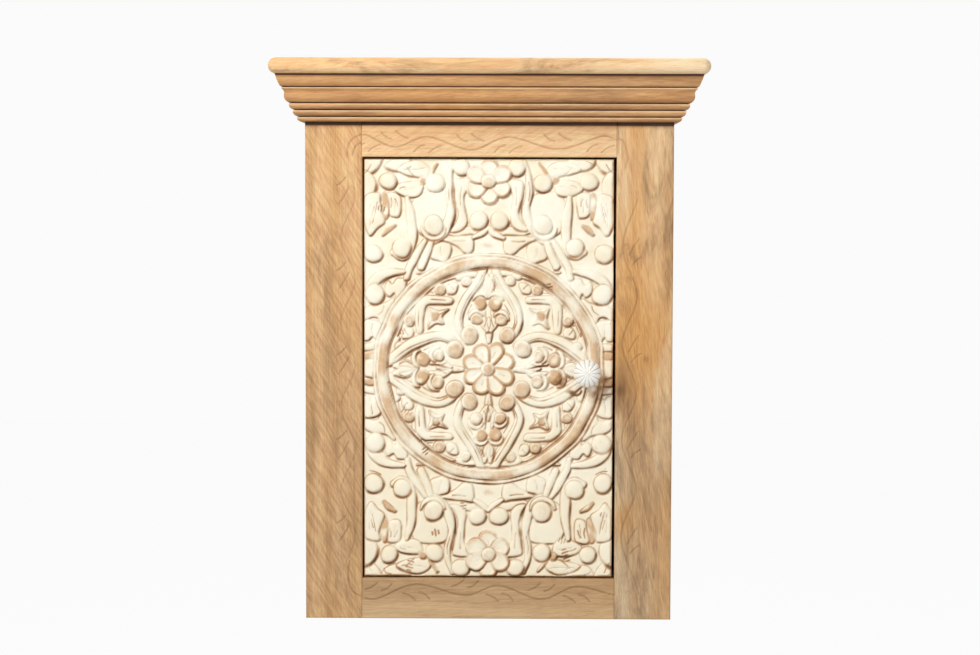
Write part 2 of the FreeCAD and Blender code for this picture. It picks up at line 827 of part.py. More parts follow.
def roundel():
    """The ring, the four ogee petals with their berries, and the eight-petalled rosette."""
    inner = f"({RING_RADIUS} - ring_width / 2)"
    outer = f"({RING_RADIUS} + ring_width / 2)"
    ring = doc.addObject("PartDesign::Body", "ring")
    place(ring, (DOOR_X, DOOR_Y, DOOR_Z))
    section = sketch_on(ring, "XY_Plane")
    corners = [
        (inner, EMBED),
        (outer, EMBED),
        (f"{outer} - ring_bevel", "-ring_height"),
        (f"{inner} + ring_bevel", "-ring_height"),
    ]
    draw(section, corners)
    revolve(ring, section)
    forms = [ring, boss("0", "0", "rosette_boss_radius", "rosette_boss_rise")]
    turns = ((0, 1), (1, 0), (0, -1), (-1, 0))
    for along_x, along_z in turns:
        for side in (1, -1):

            def spot(out, up):
                return (f"({side * along_z} * ({out}) + {along_x} * ({up}))",
                        f"({-side * along_x} * ({out}) + {along_z} * ({up}))")

            line = [
                spot("rib_foot_out", "rib_foot_up"),
                spot("rib_turn_out", "rib_turn_up"),
                spot("rib_tip_out", f"{inner} + {EMBED}"),
            ]
            arcs = {0: f"{side} * rib_bulge", 1: "smooth"}
            forms.append(rib(line, arcs, "rib_width", "rib_height", "rib_bevel"))
            forms.append(boss(*spot("berry_out", "berry_up"), "berry_radius", "berry_rise"))
            forms.append(boss(*spot("bud_out", "bud_up"), "bud_radius", "bud_rise"))
    for right, top in CORNERS:
        for name in ("head_band", "side_band", "star"):
            forms.append(blade(name, f"{right} * {name}_out", f"{top} * {name}_up", right, top))
    for step in range(8):
        turn = f"{(step + 0.5) * 45} deg"
        x, z = f"rosette_reach * cos({turn})", f"rosette_reach * sin({turn})"
        forms.append(boss(x, z, "rosette_petal_radius", "rosette_petal_rise"))
    return forms


def end_rosettes():
    """The six-petalled rosettes at the head and foot of the door."""
    forms = []
    for side in (1, -1):
        centre = f"{side} * ({DOOR_HEIGHT} / 2 - end_rosette_in)"
        forms.append(boss("0", centre, "end_boss_radius", "end_boss_rise"))
        for step in range(6):
            turn = f"{(step + 0.5) * 60} deg"
            x, z = f"end_reach * cos({turn})", f"{centre} + end_reach * sin({turn})"
            forms.append(boss(x, z, "end_petal_radius", "end_petal_rise"))
    return forms


def corner_scrolls():
    """The round bosses, leaves and curled stems that fill the four corners."""
    forms = []

    def spot(name, right, top):
        return (f"{right} * ({DOOR_WIDTH} / 2 - {name}_in)", f"{top} * ({DOOR_HEIGHT} / 2 - {name}_down)")

    for right, top in CORNERS:
        for name in BOSSES:
            forms.append(boss(*spot(f"{name}_boss", right, top), f"{name}_boss_radius", "boss_rise"))
        for name in LEAVES:
            forms.append(blade(name, *spot(name, right, top), right, top))
        x = f"({DOOR_WIDTH} / 2 - stem_boss_in)"
        z = f"({DOOR_HEIGHT} / 2 - stem_boss_down)"
        curl = [
            (f"{right} * ({x} - stem_curl + stem_lean)", f"{top} * ({z} + stem_run)"),
            (f"{right} * ({x} - stem_curl)", f"{top} * {z}"),
            (f"{right} * {x}", f"{top} * ({z} - stem_curl)"),
        ]
        arcs = {0: f"{right * top} * stem_lean / 4", 1: "smooth"}
        forms.append(rib(curl, arcs, "stem_width", "stem_height", "stem_bevel"))
    return forms


def make_door():
    """The carved door board, drilled for its pivot pins and its knob."""
    slab = doc.addObject("Part::Box", "slab")
    bind(slab, {"Length": DOOR_WIDTH, "Width": SLAB, "Height": DOOR_HEIGHT})
    place(slab, (f"{DOOR_X} - {DOOR_WIDTH} / 2", DOOR_Y, f"{DOOR_Z} - {DOOR_HEIGHT} / 2"))
    seat = rod("seat_radius", f"seat_rise + {EMBED}", (KNOB_X, f"{DOOR_Y} + {EMBED}", KNOB_Z), 90)
    carved = doc.addObject("Part::MultiFuse", "carved")
    carved.Shapes = [slab, seat] + roundel() + end_rosettes() + corner_scrolls()
    pin_hole = "pin_radius + press_gap"
    low, high = (f"{DOOR_Z} {sign} {DOOR_HEIGHT} / 2" for sign in "-+")
    holes = doc.addObject("Part::MultiFuse", "holes")
    holes.Shapes = [
        rod("stud_radius + stud_gap", f"seat_rise + {SLAB}", (KNOB_X, DOOR_BACK, KNOB_Z), 90),
        rod("seat_radius", "relief_depth", (KNOB_X, KNOB_Y, KNOB_Z), 90),
        rod(pin_hole, "pin_grip", (PIVOT_X, PIVOT_Y, low), 0),
        rod(pin_hole, "pin_grip", (PIVOT_X, PIVOT_Y, f"{high} - pin_grip"), 0),
    ]
    door = doc.addObject("Part::Cut", "door_panel")
    door.Label = "door_panel"
    door.Base = carved
    door.Tool = holes
    parts.append(door)


def turned(label, corner, profile, role):
    """A turned piece: a profile of radius and length, turned round the vertical of its plane."""
    body = new_body(label, corner)
    sketch = sketch_on(body, role)
    draw(sketch, profile)
    revolve(body, sketch)


def ring_profile(bore, radius, start, end):
    """The section of a plain ring."""
    return [(bore, start), (radius, start), (radius, end), (bore, end)]


def make_pivots():
    """The pins in the door, the bushes in the rails and the washer that carries the door."""
    bore = "pin_radius + running_gap"
    rail_top = f"{FOOT} + bottom_rail_height"
    rail_under = f"{FOOT} + case_height - top_rail_height"
    sleeve = ring_profile(bore, "bush_radius", "0", "bush_length")
    turned("pivot_bush_bottom", (PIVOT_X, PIVOT_Y, f"{rail_top} - bush_length"), sleeve, "XZ_Plane")
    turned("pivot_bush_top", (PIVOT_X, PIVOT_Y, rail_under), sleeve, "XZ_Plane")
    reach = "bush_length - pin_end_gap"
    spans = (
        ("pivot_pin_bottom", f"{rail_top} - ({reach})", f"{reach} + gap_bottom + pin_grip"),
        ("pivot_pin_top", f"{rail_under} - gap_top - pin_grip", f"{reach} + gap_top + pin_grip"),
    )
    for label, low, length in spans:
        pin = rod("pin_radius", length, (PIVOT_X, PIVOT_Y, low), 0)
        pin.Label = label
        parts.append(pin)
    washer = ring_profile(bore, "thrust_radius", "0", "gap_bottom - thrust_gap")
    turned("pivot_washer", (PIVOT_X, PIVOT_Y, rail_top), washer, "XZ_Plane")


def star(radius, depth, level):
    """A ring of ridge and flute points round the knob's axis, at one level of the knob."""
    count = int(SIZES["knob_flutes"])
    points = []
    for step in range(2 * count):
        reach = radius if step % 2 == 0 else radius - depth
        turn = math.pi * step / count
        points.append(Vector(reach * math.cos(turn), reach * math.sin(turn), level))
    return points


def faceted(rings):
    """A solid whose flat facets join one ring of points to the next."""
    faces = []
    for lower, upper in zip(rings, rings[1:]):
        for index, point in enumerate(lower):
            after = (index + 1) % len(lower)
            quad = [point, lower[after], upper[after], upper[index], point]
            faces.append(Part.Face(Part.makePolygon(quad)))
    for ring in (rings[0], rings[-1]):
        faces.append(Part.Face(Part.makePolygon(ring + ring[:1])))
    shell = Part.Shell(faces)
    shell.sewShape()
    solid = Part.Solid(shell)
    if solid.Volume < 0:
        solid.reverse()
    return solid


def make_knob():
    """The fluted knob with its collar, and the stud, washer and nut that hold it."""
    radius, neck, length = value("knob_radius"), value("knob_neck"), value("knob_length")
    flute = value("flute_depth")
    crown = value("stud_radius")
    sections = ((neck, 0.0), (neck, 0.16), (0.86 * radius, 0.36), (radius, 0.55))
    sections += ((0.94 * radius, 0.74), (0.72 * radius, 0.9), (crown, 1.0))
    head = faceted([star(size, flute * size / radius, share * length) for size, share in sections])
    socket = Part.makeCylinder(value("stud_radius + running_gap"), value("stud_grip + running_gap"))
    knob = doc.addObject("Part::Feature", "knob")
    knob.Label = "knob"
    knob.Shape = head.cut(socket)
    knob.Placement = Placement(Vector(), Rotation(Vector(1, 0, 0), 90))
    place(knob, (KNOB_X, f"{KNOB_Y} - collar_height", KNOB_Z))
    parts.append(knob)
    bore = "stud_radius + running_gap"
    collar = [
        (bore, "0"),
        ("collar_radius", "0"),
        ("knob_neck", "-collar_height"),
        (bore, "-collar_height"),
    ]
    turned("knob_collar", (KNOB_X, KNOB_Y, KNOB_Z), collar, "XY_Plane")
    inside = "washer_thickness + nut_thickness + stud_tail"
    length = f"{inside} + {SLAB} + seat_rise + collar_height + stud_grip"
    stud = rod("stud_radius", length, (KNOB_X, f"{DOOR_BACK} + {inside}", KNOB_Z), 90)
    stud.Label = "knob_stud"
    parts.append(stud)
    washer = ring_profile(bore, "washer_radius", "0", "washer_thickness")
    turned("knob_washer", (KNOB_X, DOOR_BACK, KNOB_Z), washer, "XY_Plane")
    nut = new_body("knob_nut", (KNOB_X, f"{DOOR_BACK} + washer_thickness", KNOB_Z))
    hexagon = sketch_on(nut, "XZ_Plane", ("0", "0", "-nut_thickness"))
    corner = "(nut_flats / sqrt(3))"
    draw(hexagon, [(f"{corner} * cos({60 * k} deg)", f"{corner} * sin({60 * k} deg)") for k in range(6)])
    pad(nut, hexagon, "nut_thickness")
    drill_back(nut, [("0", "0")], bore, "nut_thickness")


def make_catch():
    """The magnetic catch under the upper shelf, and the strike plate on the back of the door."""
    well = "magnet_height + 2 * pole_thickness"
    half = "catch_width / 2"
    body = board(
        "catch_body",
        (f"{CATCH_X} - {half}", CATCH_Y, CATCH_Z),
        ("catch_width", "catch_length", "catch_height"),
    )
    cut_box(
        body,
        ("0", "catch_nose", "0"),
        ("catch_width", "catch_length - catch_nose", "catch_height - catch_foot"),
    )
    low = f"(catch_height - ({well})) / 2"
    side = "(catch_width - magnet_width) / 2"
    cut_box(body, (side, "0", low), ("magnet_width", "magnet_depth", well))
    left = f"{CATCH_X} - magnet_width / 2"
    board(
        "catch_magnet",
        (left, CATCH_Y, f"{CATCH_Z} + {low} + pole_thickness"),
        ("magnet_width", "magnet_depth", "magnet_height"),
    )
    plates = []
    pole_length = "magnet_depth + pole_proud"
    for level in (low, f"{low} + pole_thickness + magnet_height"):
        plate = doc.addObject("Part::Box", "pole_plate")
        bind(plate, {"Length": "magnet_width", "Width": pole_length, "Height": "pole_thickness"})
        place(plate, (left, f"{CATCH_Y} - pole_proud", f"{CATCH_Z} + {level}"))
        plates.append(plate)
    group = doc.addObject("Part::Compound", "catch_pole_plates")
    group.Label = "catch_pole_plates"
    group.Links = plates
    parts.append(group)
    middle = f"{CATCH_Z} + catch_height / 2"
    board(
        "strike_plate",
        (f"{CATCH_X} - strike_width / 2", DOOR_BACK, f"{middle} - strike_height / 2"),
        ("strike_width", "strike_thickness", "strike_height"),
    )


def check_document():
    """Stops the build where a feature failed, a cut removed nothing or a piece isn't a sound solid."""
    for item in doc.Objects:
        if "Invalid" in item.State or "Error" in item.State:
            raise RuntimeError(f"{item.Label} failed: {item.State}")
        if item.TypeId == "PartDesign::Pocket":
            if item.BaseFeature.Shape.Volume - item.Shape.Volume < 1e-3:
                raise RuntimeError(f"{item.Label} cuts nothing")
    for item in parts:
        if item.Shape.isNull() or not item.Shape.isValid() or not item.Shape.Solids:
            raise RuntimeError(f"{item.Label} is not a sound solid")


def write_parts():
    """Writes each piece of the assembly to its own file."""
    os.makedirs("parts", exist_ok=True)
    for item in parts:
        item.Shape.exportStep(f"parts/{item.Label}.step")
        print(f"{item.Label}: {len(item.Shape.Solids)} solid(s), {item.Shape.Volume / 1000:.1f} cm3")


fill_sheet()
make_sides()
make_case_boards()
make_back()
make_face_frame()
make_cornice()
make_cap()
make_door()
make_pivots()
make_knob()
make_catch()
doc.recompute()
check_document()
write_parts()
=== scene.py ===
"""Dressed model of a carved wall cabinet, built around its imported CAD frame.

The carved door, the incised face frame, the bullnosed cap, the mitred moulding and the fluted knob are
modelled here over their CAD nodes, and the catch and its strike plate get their small screws. The other
nodes keep their CAD shapes and get wood, metal and plastic finishes.
Lengths in class fields are millimetres; meshes are in metres, in the frame's own axes.
"""

import logging
import math
from dataclasses import dataclass, field
from enum import Enum
from typing import Callable, Sequence

import bmesh
import bpy
import numpy as np
from mathutils import Matrix, Vector

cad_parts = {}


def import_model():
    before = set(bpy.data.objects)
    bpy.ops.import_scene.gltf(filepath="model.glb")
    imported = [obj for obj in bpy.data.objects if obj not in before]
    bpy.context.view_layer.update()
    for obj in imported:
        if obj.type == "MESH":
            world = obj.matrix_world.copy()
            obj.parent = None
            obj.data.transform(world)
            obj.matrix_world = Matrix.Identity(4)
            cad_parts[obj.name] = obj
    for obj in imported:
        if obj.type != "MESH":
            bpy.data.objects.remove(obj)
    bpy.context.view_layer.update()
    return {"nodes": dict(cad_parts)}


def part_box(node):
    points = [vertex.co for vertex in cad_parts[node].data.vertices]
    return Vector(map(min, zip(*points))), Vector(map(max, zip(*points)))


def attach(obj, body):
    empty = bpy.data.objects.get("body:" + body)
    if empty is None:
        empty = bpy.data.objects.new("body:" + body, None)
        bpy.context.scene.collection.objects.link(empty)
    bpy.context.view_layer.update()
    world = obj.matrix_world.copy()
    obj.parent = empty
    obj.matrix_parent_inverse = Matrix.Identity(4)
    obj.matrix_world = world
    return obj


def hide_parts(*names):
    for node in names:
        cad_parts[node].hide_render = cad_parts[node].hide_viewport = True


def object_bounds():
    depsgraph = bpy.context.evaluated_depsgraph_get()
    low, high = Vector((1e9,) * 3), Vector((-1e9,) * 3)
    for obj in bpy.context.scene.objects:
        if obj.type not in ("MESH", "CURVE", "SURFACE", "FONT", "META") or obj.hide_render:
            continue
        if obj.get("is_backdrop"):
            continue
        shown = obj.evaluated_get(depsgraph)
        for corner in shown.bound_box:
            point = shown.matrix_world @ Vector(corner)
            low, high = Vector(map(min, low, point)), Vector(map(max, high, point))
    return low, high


LOG = logging.getLogger("cabinet")
MM = 0.001
# Half width of the opening between the stiles, in millimetres
OPENING = 139.5
# Edges of a carved board that are flatter than this many degrees are shaded smooth
CARVED_CREASE = 62.0
Point = tuple[float, float]
Colour = tuple[float, float, float, float]
Socket = bpy.types.NodeSocket
Source = Socket | float | Sequence[float]


class Body(str, Enum):
    """Moving bodies of the cabinet."""

    CASE = "case"
    DOOR = "door"


class Grain(Enum):
    """Direction of a board's fibres, as the turn that brings them onto the pattern's first axis."""

    ALONG_X = (0.0, 0.0, 0.0)
    ALONG_Y = (0.0, 0.0, -math.pi / 2)
    ALONG_Z = (0.0, math.pi / 2, 0.0)


class Fold(Enum):
    """How a carved motif repeats over the door."""

    PLAIN = "plain"
    ONCE = "once"
    QUARTERS = "quarters"
    PETALS = "petals"


def tone(red: float, green: float, blue: float) -> Colour:
    """Turn a colour as it is seen on a screen into the linear colour of a shader.

    Args:
        red: Red from 0 to 255.
        green: Green from 0 to 255.
        blue: Blue from 0 to 255.

    Returns:
        The linear colour with full opacity.
    """
    parts = [channel / 255.0 for channel in (red, green, blue)]
    linear = [part / 12.92 if part <= 0.04045 else ((part + 0.055) / 1.055) ** 2.4 for part in parts]
    return (linear[0], linear[1], linear[2], 1.0)


class NodeDesk:
    """Places the nodes of one tree and links them."""

    def __init__(self, tree: bpy.types.NodeTree) -> None:
        """Start on a tree."""
        self.tree = tree

    def add(self, kind: str, sources: dict[str, Source] | None = None, **settings: object) -> bpy.types.Node:
        """Place a node.

        Args:
            kind: The node's type name.
            sources: Sockets or values for its inputs, by name.
            **settings: Properties of the node to set.

        Returns:
            The new node.
        """
        node = self.tree.nodes.new(kind)
        for name, setting in settings.items():
            setattr(node, name, setting)
        for name, source in (sources or {}).items():
            self.feed(node.inputs[name], source)
        return node

    def feed(self, target: Socket, source: Source) -> None:
        """Link a socket into another, or set a plain value on it.

        Args:
            target: The input socket.
            source: An output socket or a value.
        """
        if isinstance(source, bpy.types.NodeSocket):
            self.tree.links.new(source, target)
        else:
            target.default_value = source

    def group(self, tree: bpy.types.NodeTree, **sources: Source) -> bpy.types.bpy_prop_collection:
        """Place a node group.

        Args:
            tree: The group.
            **sources: Sockets or values for its inputs, by name.

        Returns:
            Its outputs.
        """
        return self.add("ShaderNodeGroup", sources, node_tree=tree).outputs

    def calc(self, operation: str, *terms: Socket | float) -> Socket:
        """Join values with a Math node.

        Args:
            operation: The node's operation.
            *terms: One to three values or sockets.

        Returns:
            The result's socket.
        """
        node = self.add("ShaderNodeMath", operation=operation, use_clamp=False)
        for place, term in enumerate(terms):
            self.feed(node.inputs[place], term)
        return node.outputs["Value"]

    def stretch(self, vector: Socket, factors: Sequence[float]) -> Socket:
        """Scale a coordinate along its three axes.

        Args:
            vector: The coordinate.
            factors: One factor for each axis.

        Returns:
            The scaled coordinate.
        """
        node = self.add("ShaderNodeVectorMath", operation="MULTIPLY")
        self.feed(node.inputs[0], vector)
        self.feed(node.inputs[1], factors)
        return node.outputs["Vector"]

    def noise(self, vector: Socket, scale: float, detail: float = 2.0, rough: float = 0.5,
              bend: float = 0.0) -> Socket:
        """Place a noise pattern.

        Args:
            vector: The coordinate.
            scale: Cells per metre.
            detail: Number of finer layers.
            rough: Weight of the finer layers.
            bend: Distortion of the pattern.

        Returns:
            The pattern's value.
        """
        sources = {"Vector": vector, "Scale": scale, "Detail": detail, "Roughness": rough, "Distortion": bend}
        return self.add("ShaderNodeTexNoise", sources, noise_dimensions="3D").outputs["Fac"]

    def drawn(self, vector: Socket, pull: float, **settings: float) -> Socket:
        """Place a noise pattern that is drawn out along the fibres.

        Args:
            vector: The coordinate, with the fibres along its first axis.
            pull: Share of the scale that is left along the fibres.
            **settings: The noise's scale across the fibres, detail, rough and bend.

        Returns:
            The pattern's value.
        """
        return self.noise(self.stretch(vector, (pull, 1.0, 1.0)), **settings)

    def ease(self, value: Socket, low: float, high: float) -> Socket:
        """Map a range of a value smoothly to nought and one.

        Args:
            value: The value.
            low: Value that becomes nought.
            high: Value that becomes one.

        Returns:
            The mapped value.
        """
        sources = {"Value": value, "From Min": low, "From Max": high}
        node = self.add("ShaderNodeMapRange", sources, interpolation_type="SMOOTHSTEP", clamp=True)
        return node.outputs["Result"]

    def span(self, value: Socket, low: float, high: float) -> Socket:
        """Map a value from nought and one to a range.

        Args:
            value: The value.
            low: Result at nought.
            high: Result at one.

        Returns:
            The mapped value.
        """
        sources = {"Value": value, "To Min": low, "To Max": high}
        return self.add("ShaderNodeMapRange", sources, clamp=True).outputs["Result"]

    def mix(self, share: Socket | float, under: Socket | Colour, over: Socket | Colour,
            mode: str = "MIX") -> Socket:
        """Mix two colours.

        Args:
            share: Weight of the second colour.
            under: First colour.
            over: Second colour.
            mode: Blend mode.

        Returns:
            The mixed colour.
        """
        node = self.add("ShaderNodeMix", data_type="RGBA", blend_type=mode, clamp_factor=True)
        # The node has sockets of one name for each kind of data, so those for colours go by number
        for socket, source in ((0, share), (6, under), (7, over)):
            self.feed(node.inputs[socket], source)
        return node.outputs[2]

    def tint(self, under: Socket | Colour, over: Colour, where: Socket, share: float,
             mode: str = "MIX") -> Socket:
        """Lay a colour over another where a value is high.

        Args:
            under: The colour so far.
            over: The colour laid over it.
            where: The value.
            share: Weight of the second colour where the value is one.
            mode: Blend mode.

        Returns:
            The mixed colour.
        """
        return self.mix(self.calc("MULTIPLY", where, share), under, over, mode)

    def grey(self, value: Socket) -> Socket:
        """Turn a value into a grey colour."""
        sources = {name: value for name in ("Red", "Green", "Blue")}
        return self.add("ShaderNodeCombineColor", sources).outputs["Color"]

    def bump(self, height: Socket, strength: float, distance: float) -> Socket:
        """Turn a height into a normal.

        Args:
            height: The height's value.
            strength: Share of the effect.
            distance: Depth in metres of a height of one.

        Returns:
            The normal.
        """
        sources = {"Height": height, "Strength": strength, "Distance": distance}
        return self.add("ShaderNodeBump", sources).outputs["Normal"]

    def mark(self, name: str) -> Socket:
        """Read a number that is stored on the mesh's points."""
        return self.add("ShaderNodeAttribute", attribute_name=name).outputs["Fac"]

    def level(self, start: float, end: float) -> Socket:
        """Grow smoothly from nought to one between two heights.

        Args:
            start: Height in metres of nought.
            end: Height in metres of one.

        Returns:
            The share.
        """
        place = self.add("ShaderNodeTexCoord").outputs["Object"]
        return self.ease(self.add("ShaderNodeSeparateXYZ", {"Vector": place}).outputs["Z"], start, end)


class Patterns:
    """Shader node groups that several finishes share."""

    def __init__(self) -> None:
        """Build the groups."""
        self.wood = self.wood_figure()
        self.wear = self.fine_wear()

    @staticmethod
    def start(name: str, inputs: dict[str, str], outputs: Sequence[str]
              ) -> tuple[bpy.types.NodeTree, NodeDesk, bpy.types.Node, bpy.types.Node]:
        """Open a group with its sockets.

        Args:
            name: The group's name.
            inputs: Socket type of each input, by name.
            outputs: Names of the outputs, which are numbers.

        Returns:
            The group, its desk, its input node and its output node.
        """
        group = bpy.data.node_groups.new(name, "ShaderNodeTree")
        for label, kind in inputs.items():
            group.interface.new_socket(name=label, in_out="INPUT", socket_type=kind)
        for label in outputs:
            group.interface.new_socket(name=label, in_out="OUTPUT", socket_type="NodeSocketFloat")
        desk = NodeDesk(group)
        return group, desk, desk.add("NodeGroupInput"), desk.add("NodeGroupOutput")

    def wood_figure(self) -> bpy.types.NodeTree:
        """Make the figure of a plain-sawn board, with its fibres along the first axis.

        Returns:
            The node group.
        """
        inputs = {"Vector": "NodeSocketVector", "Slant": "NodeSocketFloat", "Rings": "NodeSocketFloat"}
        outputs = ("Figure", "Fibre", "Pores", "Streak", "Patch", "Cross", "Swirl")
        group, desk, entry, result = self.start("wood_figure", inputs, outputs)
        place = entry.outputs["Vector"]
        along = desk.stretch(place, (0.16, 1.0, 1.0))
        sources = {"Vector": along, "Scale": entry.outputs["Rings"], "Distortion": 11.0, "Detail": 4.0,
                   "Detail Scale": 1.3, "Detail Roughness": 0.6}
        wave = desk.add("ShaderNodeTexWave", sources, wave_type="BANDS", bands_direction="Z",
                        wave_profile="SIN")
        rings = desk.calc("MULTIPLY", wave.outputs["Fac"], 0.4)
        drift = desk.noise(along, scale=13.0, detail=3.0, rough=0.55)
        sources = {"Vector": place, "Angle": entry.outputs["Slant"]}
        turned = desk.add("ShaderNodeVectorRotate", sources, rotation_type="Y_AXIS").outputs["Vector"]
        dashes = desk.drawn(place, 0.06, scale=1500.0, detail=1.0, rough=0.4)
        streak = desk.drawn(place, 0.16, scale=26.0, detail=4.0, rough=0.62, bend=0.8)
        patch = desk.drawn(place, 0.4, scale=9.0, detail=2.0, rough=0.5)
        swirl = desk.drawn(place, 0.3, scale=24.0, detail=5.0, rough=0.62, bend=1.6)
        values = {"Figure": desk.calc("MULTIPLY_ADD", drift, 0.8, rings),
                  "Fibre": desk.drawn(place, 0.03, scale=700.0, detail=4.0, rough=0.7),
                  "Pores": desk.ease(dashes, 0.56, 0.74),
                  "Streak": desk.ease(streak, 0.5, 0.72),
                  "Patch": desk.ease(patch, 0.38, 0.68),
                  "Cross": desk.drawn(turned, 0.1, scale=380.0, detail=4.0, rough=0.66, bend=0.5),
                  "Swirl": desk.ease(swirl, 0.48, 0.7)}
        for name, value in values.items():
            desk.feed(result.inputs[name], value)
        return group

    def fine_wear(self) -> bpy.types.NodeTree:
        """Make handling marks: faint smudges and fine scratches.

        Returns:
            The node group.
        """
        inputs = {"Vector": "NodeSocketVector"}
        group, desk, entry, result = self.start("fine_wear", inputs, ("Smudge", "Scratch"))
        smudge = desk.noise(entry.outputs["Vector"], scale=38.0, detail=4.0, rough=0.6)
        thin = desk.stretch(entry.outputs["Vector"], (1.0, 1.0, 0.08))
        scratch = desk.noise(thin, scale=900.0, detail=2.0, rough=0.5, bend=0.6)
        desk.feed(result.inputs["Smudge"], desk.ease(smudge, 0.36, 0.66))
        desk.feed(result.inputs["Scratch"], desk.ease(scratch, 0.6, 0.74))
        return group


def new_material(name: str) -> tuple[bpy.types.Material, NodeDesk, bpy.types.Node]:
    """Open a material with one Principled shader.

    Args:
        name: The material's name.

    Returns:
        The material, its desk and its shader.
    """
    material = bpy.data.materials.new(name)
    material.use_nodes = True
    desk = NodeDesk(material.node_tree)
    return material, desk, material.node_tree.nodes["Principled BSDF"]


def coordinates(desk: NodeDesk, turn: Sequence[float], shift: Sequence[float]) -> Socket:
    """Read the object's coordinates, turned and shifted.

    Args:
        desk: The material's desk.
        turn: Turn in radians about the three axes.
        shift: Shift in metres.

    Returns:
        The coordinate.
    """
    source = desk.add("ShaderNodeTexCoord").outputs["Object"]
    sources = {"Vector": source, "Rotation": tuple(turn), "Location": tuple(shift)}
    return desk.add("ShaderNodeMapping", sources, vector_type="POINT").outputs["Vector"]


@dataclass(frozen=True)
class WoodFinish:
    """Waxed mango wood of one tint.

    Attributes:
        name: Finish name.
        pale: Colour of the early wood.
        deep: Colour of the late wood.
        streak: Colour of the grey-brown heart streaks.
        glow: Colour of the warmer patches.
        slant: Turn in radians of the interlocked figure from the fibres.
        rings: Bands of the figure for each third of a metre.
        streaks: Share of heart streaks.
        glows: Share of warmer patches.
        hatch: Contrast of the interlocked figure.
        swirls: Share of swirling heart wood.
        foot: Share of the streaks' colour at the cabinet's foot, painted shade that darkens each board
            towards the bottom.
        hearts: Share of amber where the heart wood is marked.
        highlight_and_sapwood: Share of pale wood where that is marked: the painted highlight on the
            moulding's upper edges, and sapwood.
        fibres: Contrast of the fine fibres.
        pores: Share of brown in the pores.
        lines: Share of brown in the cut lines.
        painted_shade: Colour of the painted shade in the deepest corners: under the cap, in the moulding's
            quirks and under the moulding.
        edge: Colour of the painted highlight on the moulding's upper edges, and of the pale sapwood.
    """

    name: str
    pale: Colour
    deep: Colour
    streak: Colour
    glow: Colour
    slant: float = 0.3
    rings: float = 8.0
    streaks: float = 0.5
    glows: float = 0.45
    hatch: float = 0.22
    swirls: float = 0.0
    foot: float = 0.2
    hearts: float = 0.95
    highlight_and_sapwood: float = 0.6
    fibres: float = 0.3
    pores: float = 0.22
    lines: float = 0.6
    painted_shade: Colour = tone(64, 36, 15)
    edge: Colour = tone(248, 216, 172)

    def make(self, patterns: Patterns, label: str, grain: Grain,
             shift: Sequence[float]) -> bpy.types.Material:
        """Make the material of one board.

        Args:
            patterns: The shared node groups.
            label: Name of the board.
            grain: Direction of its fibres.
            shift: Place in the pattern, so that no two boards look alike.

        Returns:
            The material.
        """
        material, desk, shader = new_material(f"{self.name}_{label}")
        vector = coordinates(desk, grain.value, shift)
        wood = desk.group(patterns.wood, Vector=vector, Slant=self.slant, Rings=self.rings)
        wear = desk.group(patterns.wear, Vector=vector)
        # Painted shade: darker towards the cabinet's foot, where the light falls off.
        foot = desk.level(0.0, -0.5)
        colour = desk.mix(desk.ease(wood["Figure"], 0.3, 0.9), self.pale, self.deep)
        for over, where, share in (
                (self.glow, wood["Patch"], self.glows), (self.streak, wood["Streak"], self.streaks),
                (self.streak, wood["Swirl"], self.swirls), (self.glow, desk.mark("heart"), self.hearts),
                # The rubbed mark is a painted highlight on the moulding, and sapwood on the right stile.
                (self.edge, desk.mark("rubbed"), self.highlight_and_sapwood), (self.streak, foot, self.foot)):
            colour = desk.tint(colour, over, where, share)
        for pattern, dark, share in (("Cross", 0.3, self.hatch), ("Fibre", 0.25, self.fibres)):
            value = desk.span(desk.ease(wood[pattern], dark, 1.0 - dark), dark, 1.0 - dark)
            colour = desk.mix(share, colour, desk.grey(value), "OVERLAY")
        colour = desk.tint(colour, self.streak, wood["Pores"], self.pores, "MULTIPLY")
        # The groove mark is brown in the cut lines and painted shade on and under the moulding; above 0.9 it
        # turns to the dark painted shade colour.
        incised = desk.mark("groove")
        colour = desk.tint(colour, self.streak, incised, self.lines, "MULTIPLY")
        colour = desk.mix(desk.ease(incised, 0.9, 1.5), colour, self.painted_shade)
        gloss = desk.span(wear["Smudge"], 0.46, 0.6)
        height = desk.calc("MULTIPLY_ADD", wood["Pores"], -0.5, wood["Fibre"])
        height = desk.calc("MULTIPLY_ADD", wear["Scratch"], -0.2, height)
        desk.feed(shader.inputs["Base Color"], colour)
        desk.feed(shader.inputs["Roughness"], desk.calc("MULTIPLY_ADD", wood["Pores"], 0.15, gloss))
        desk.feed(shader.inputs["Normal"], desk.bump(height, strength=0.3, distance=0.0004))
        shader.inputs["Specular IOR Level"].default_value = 0.3
        return material


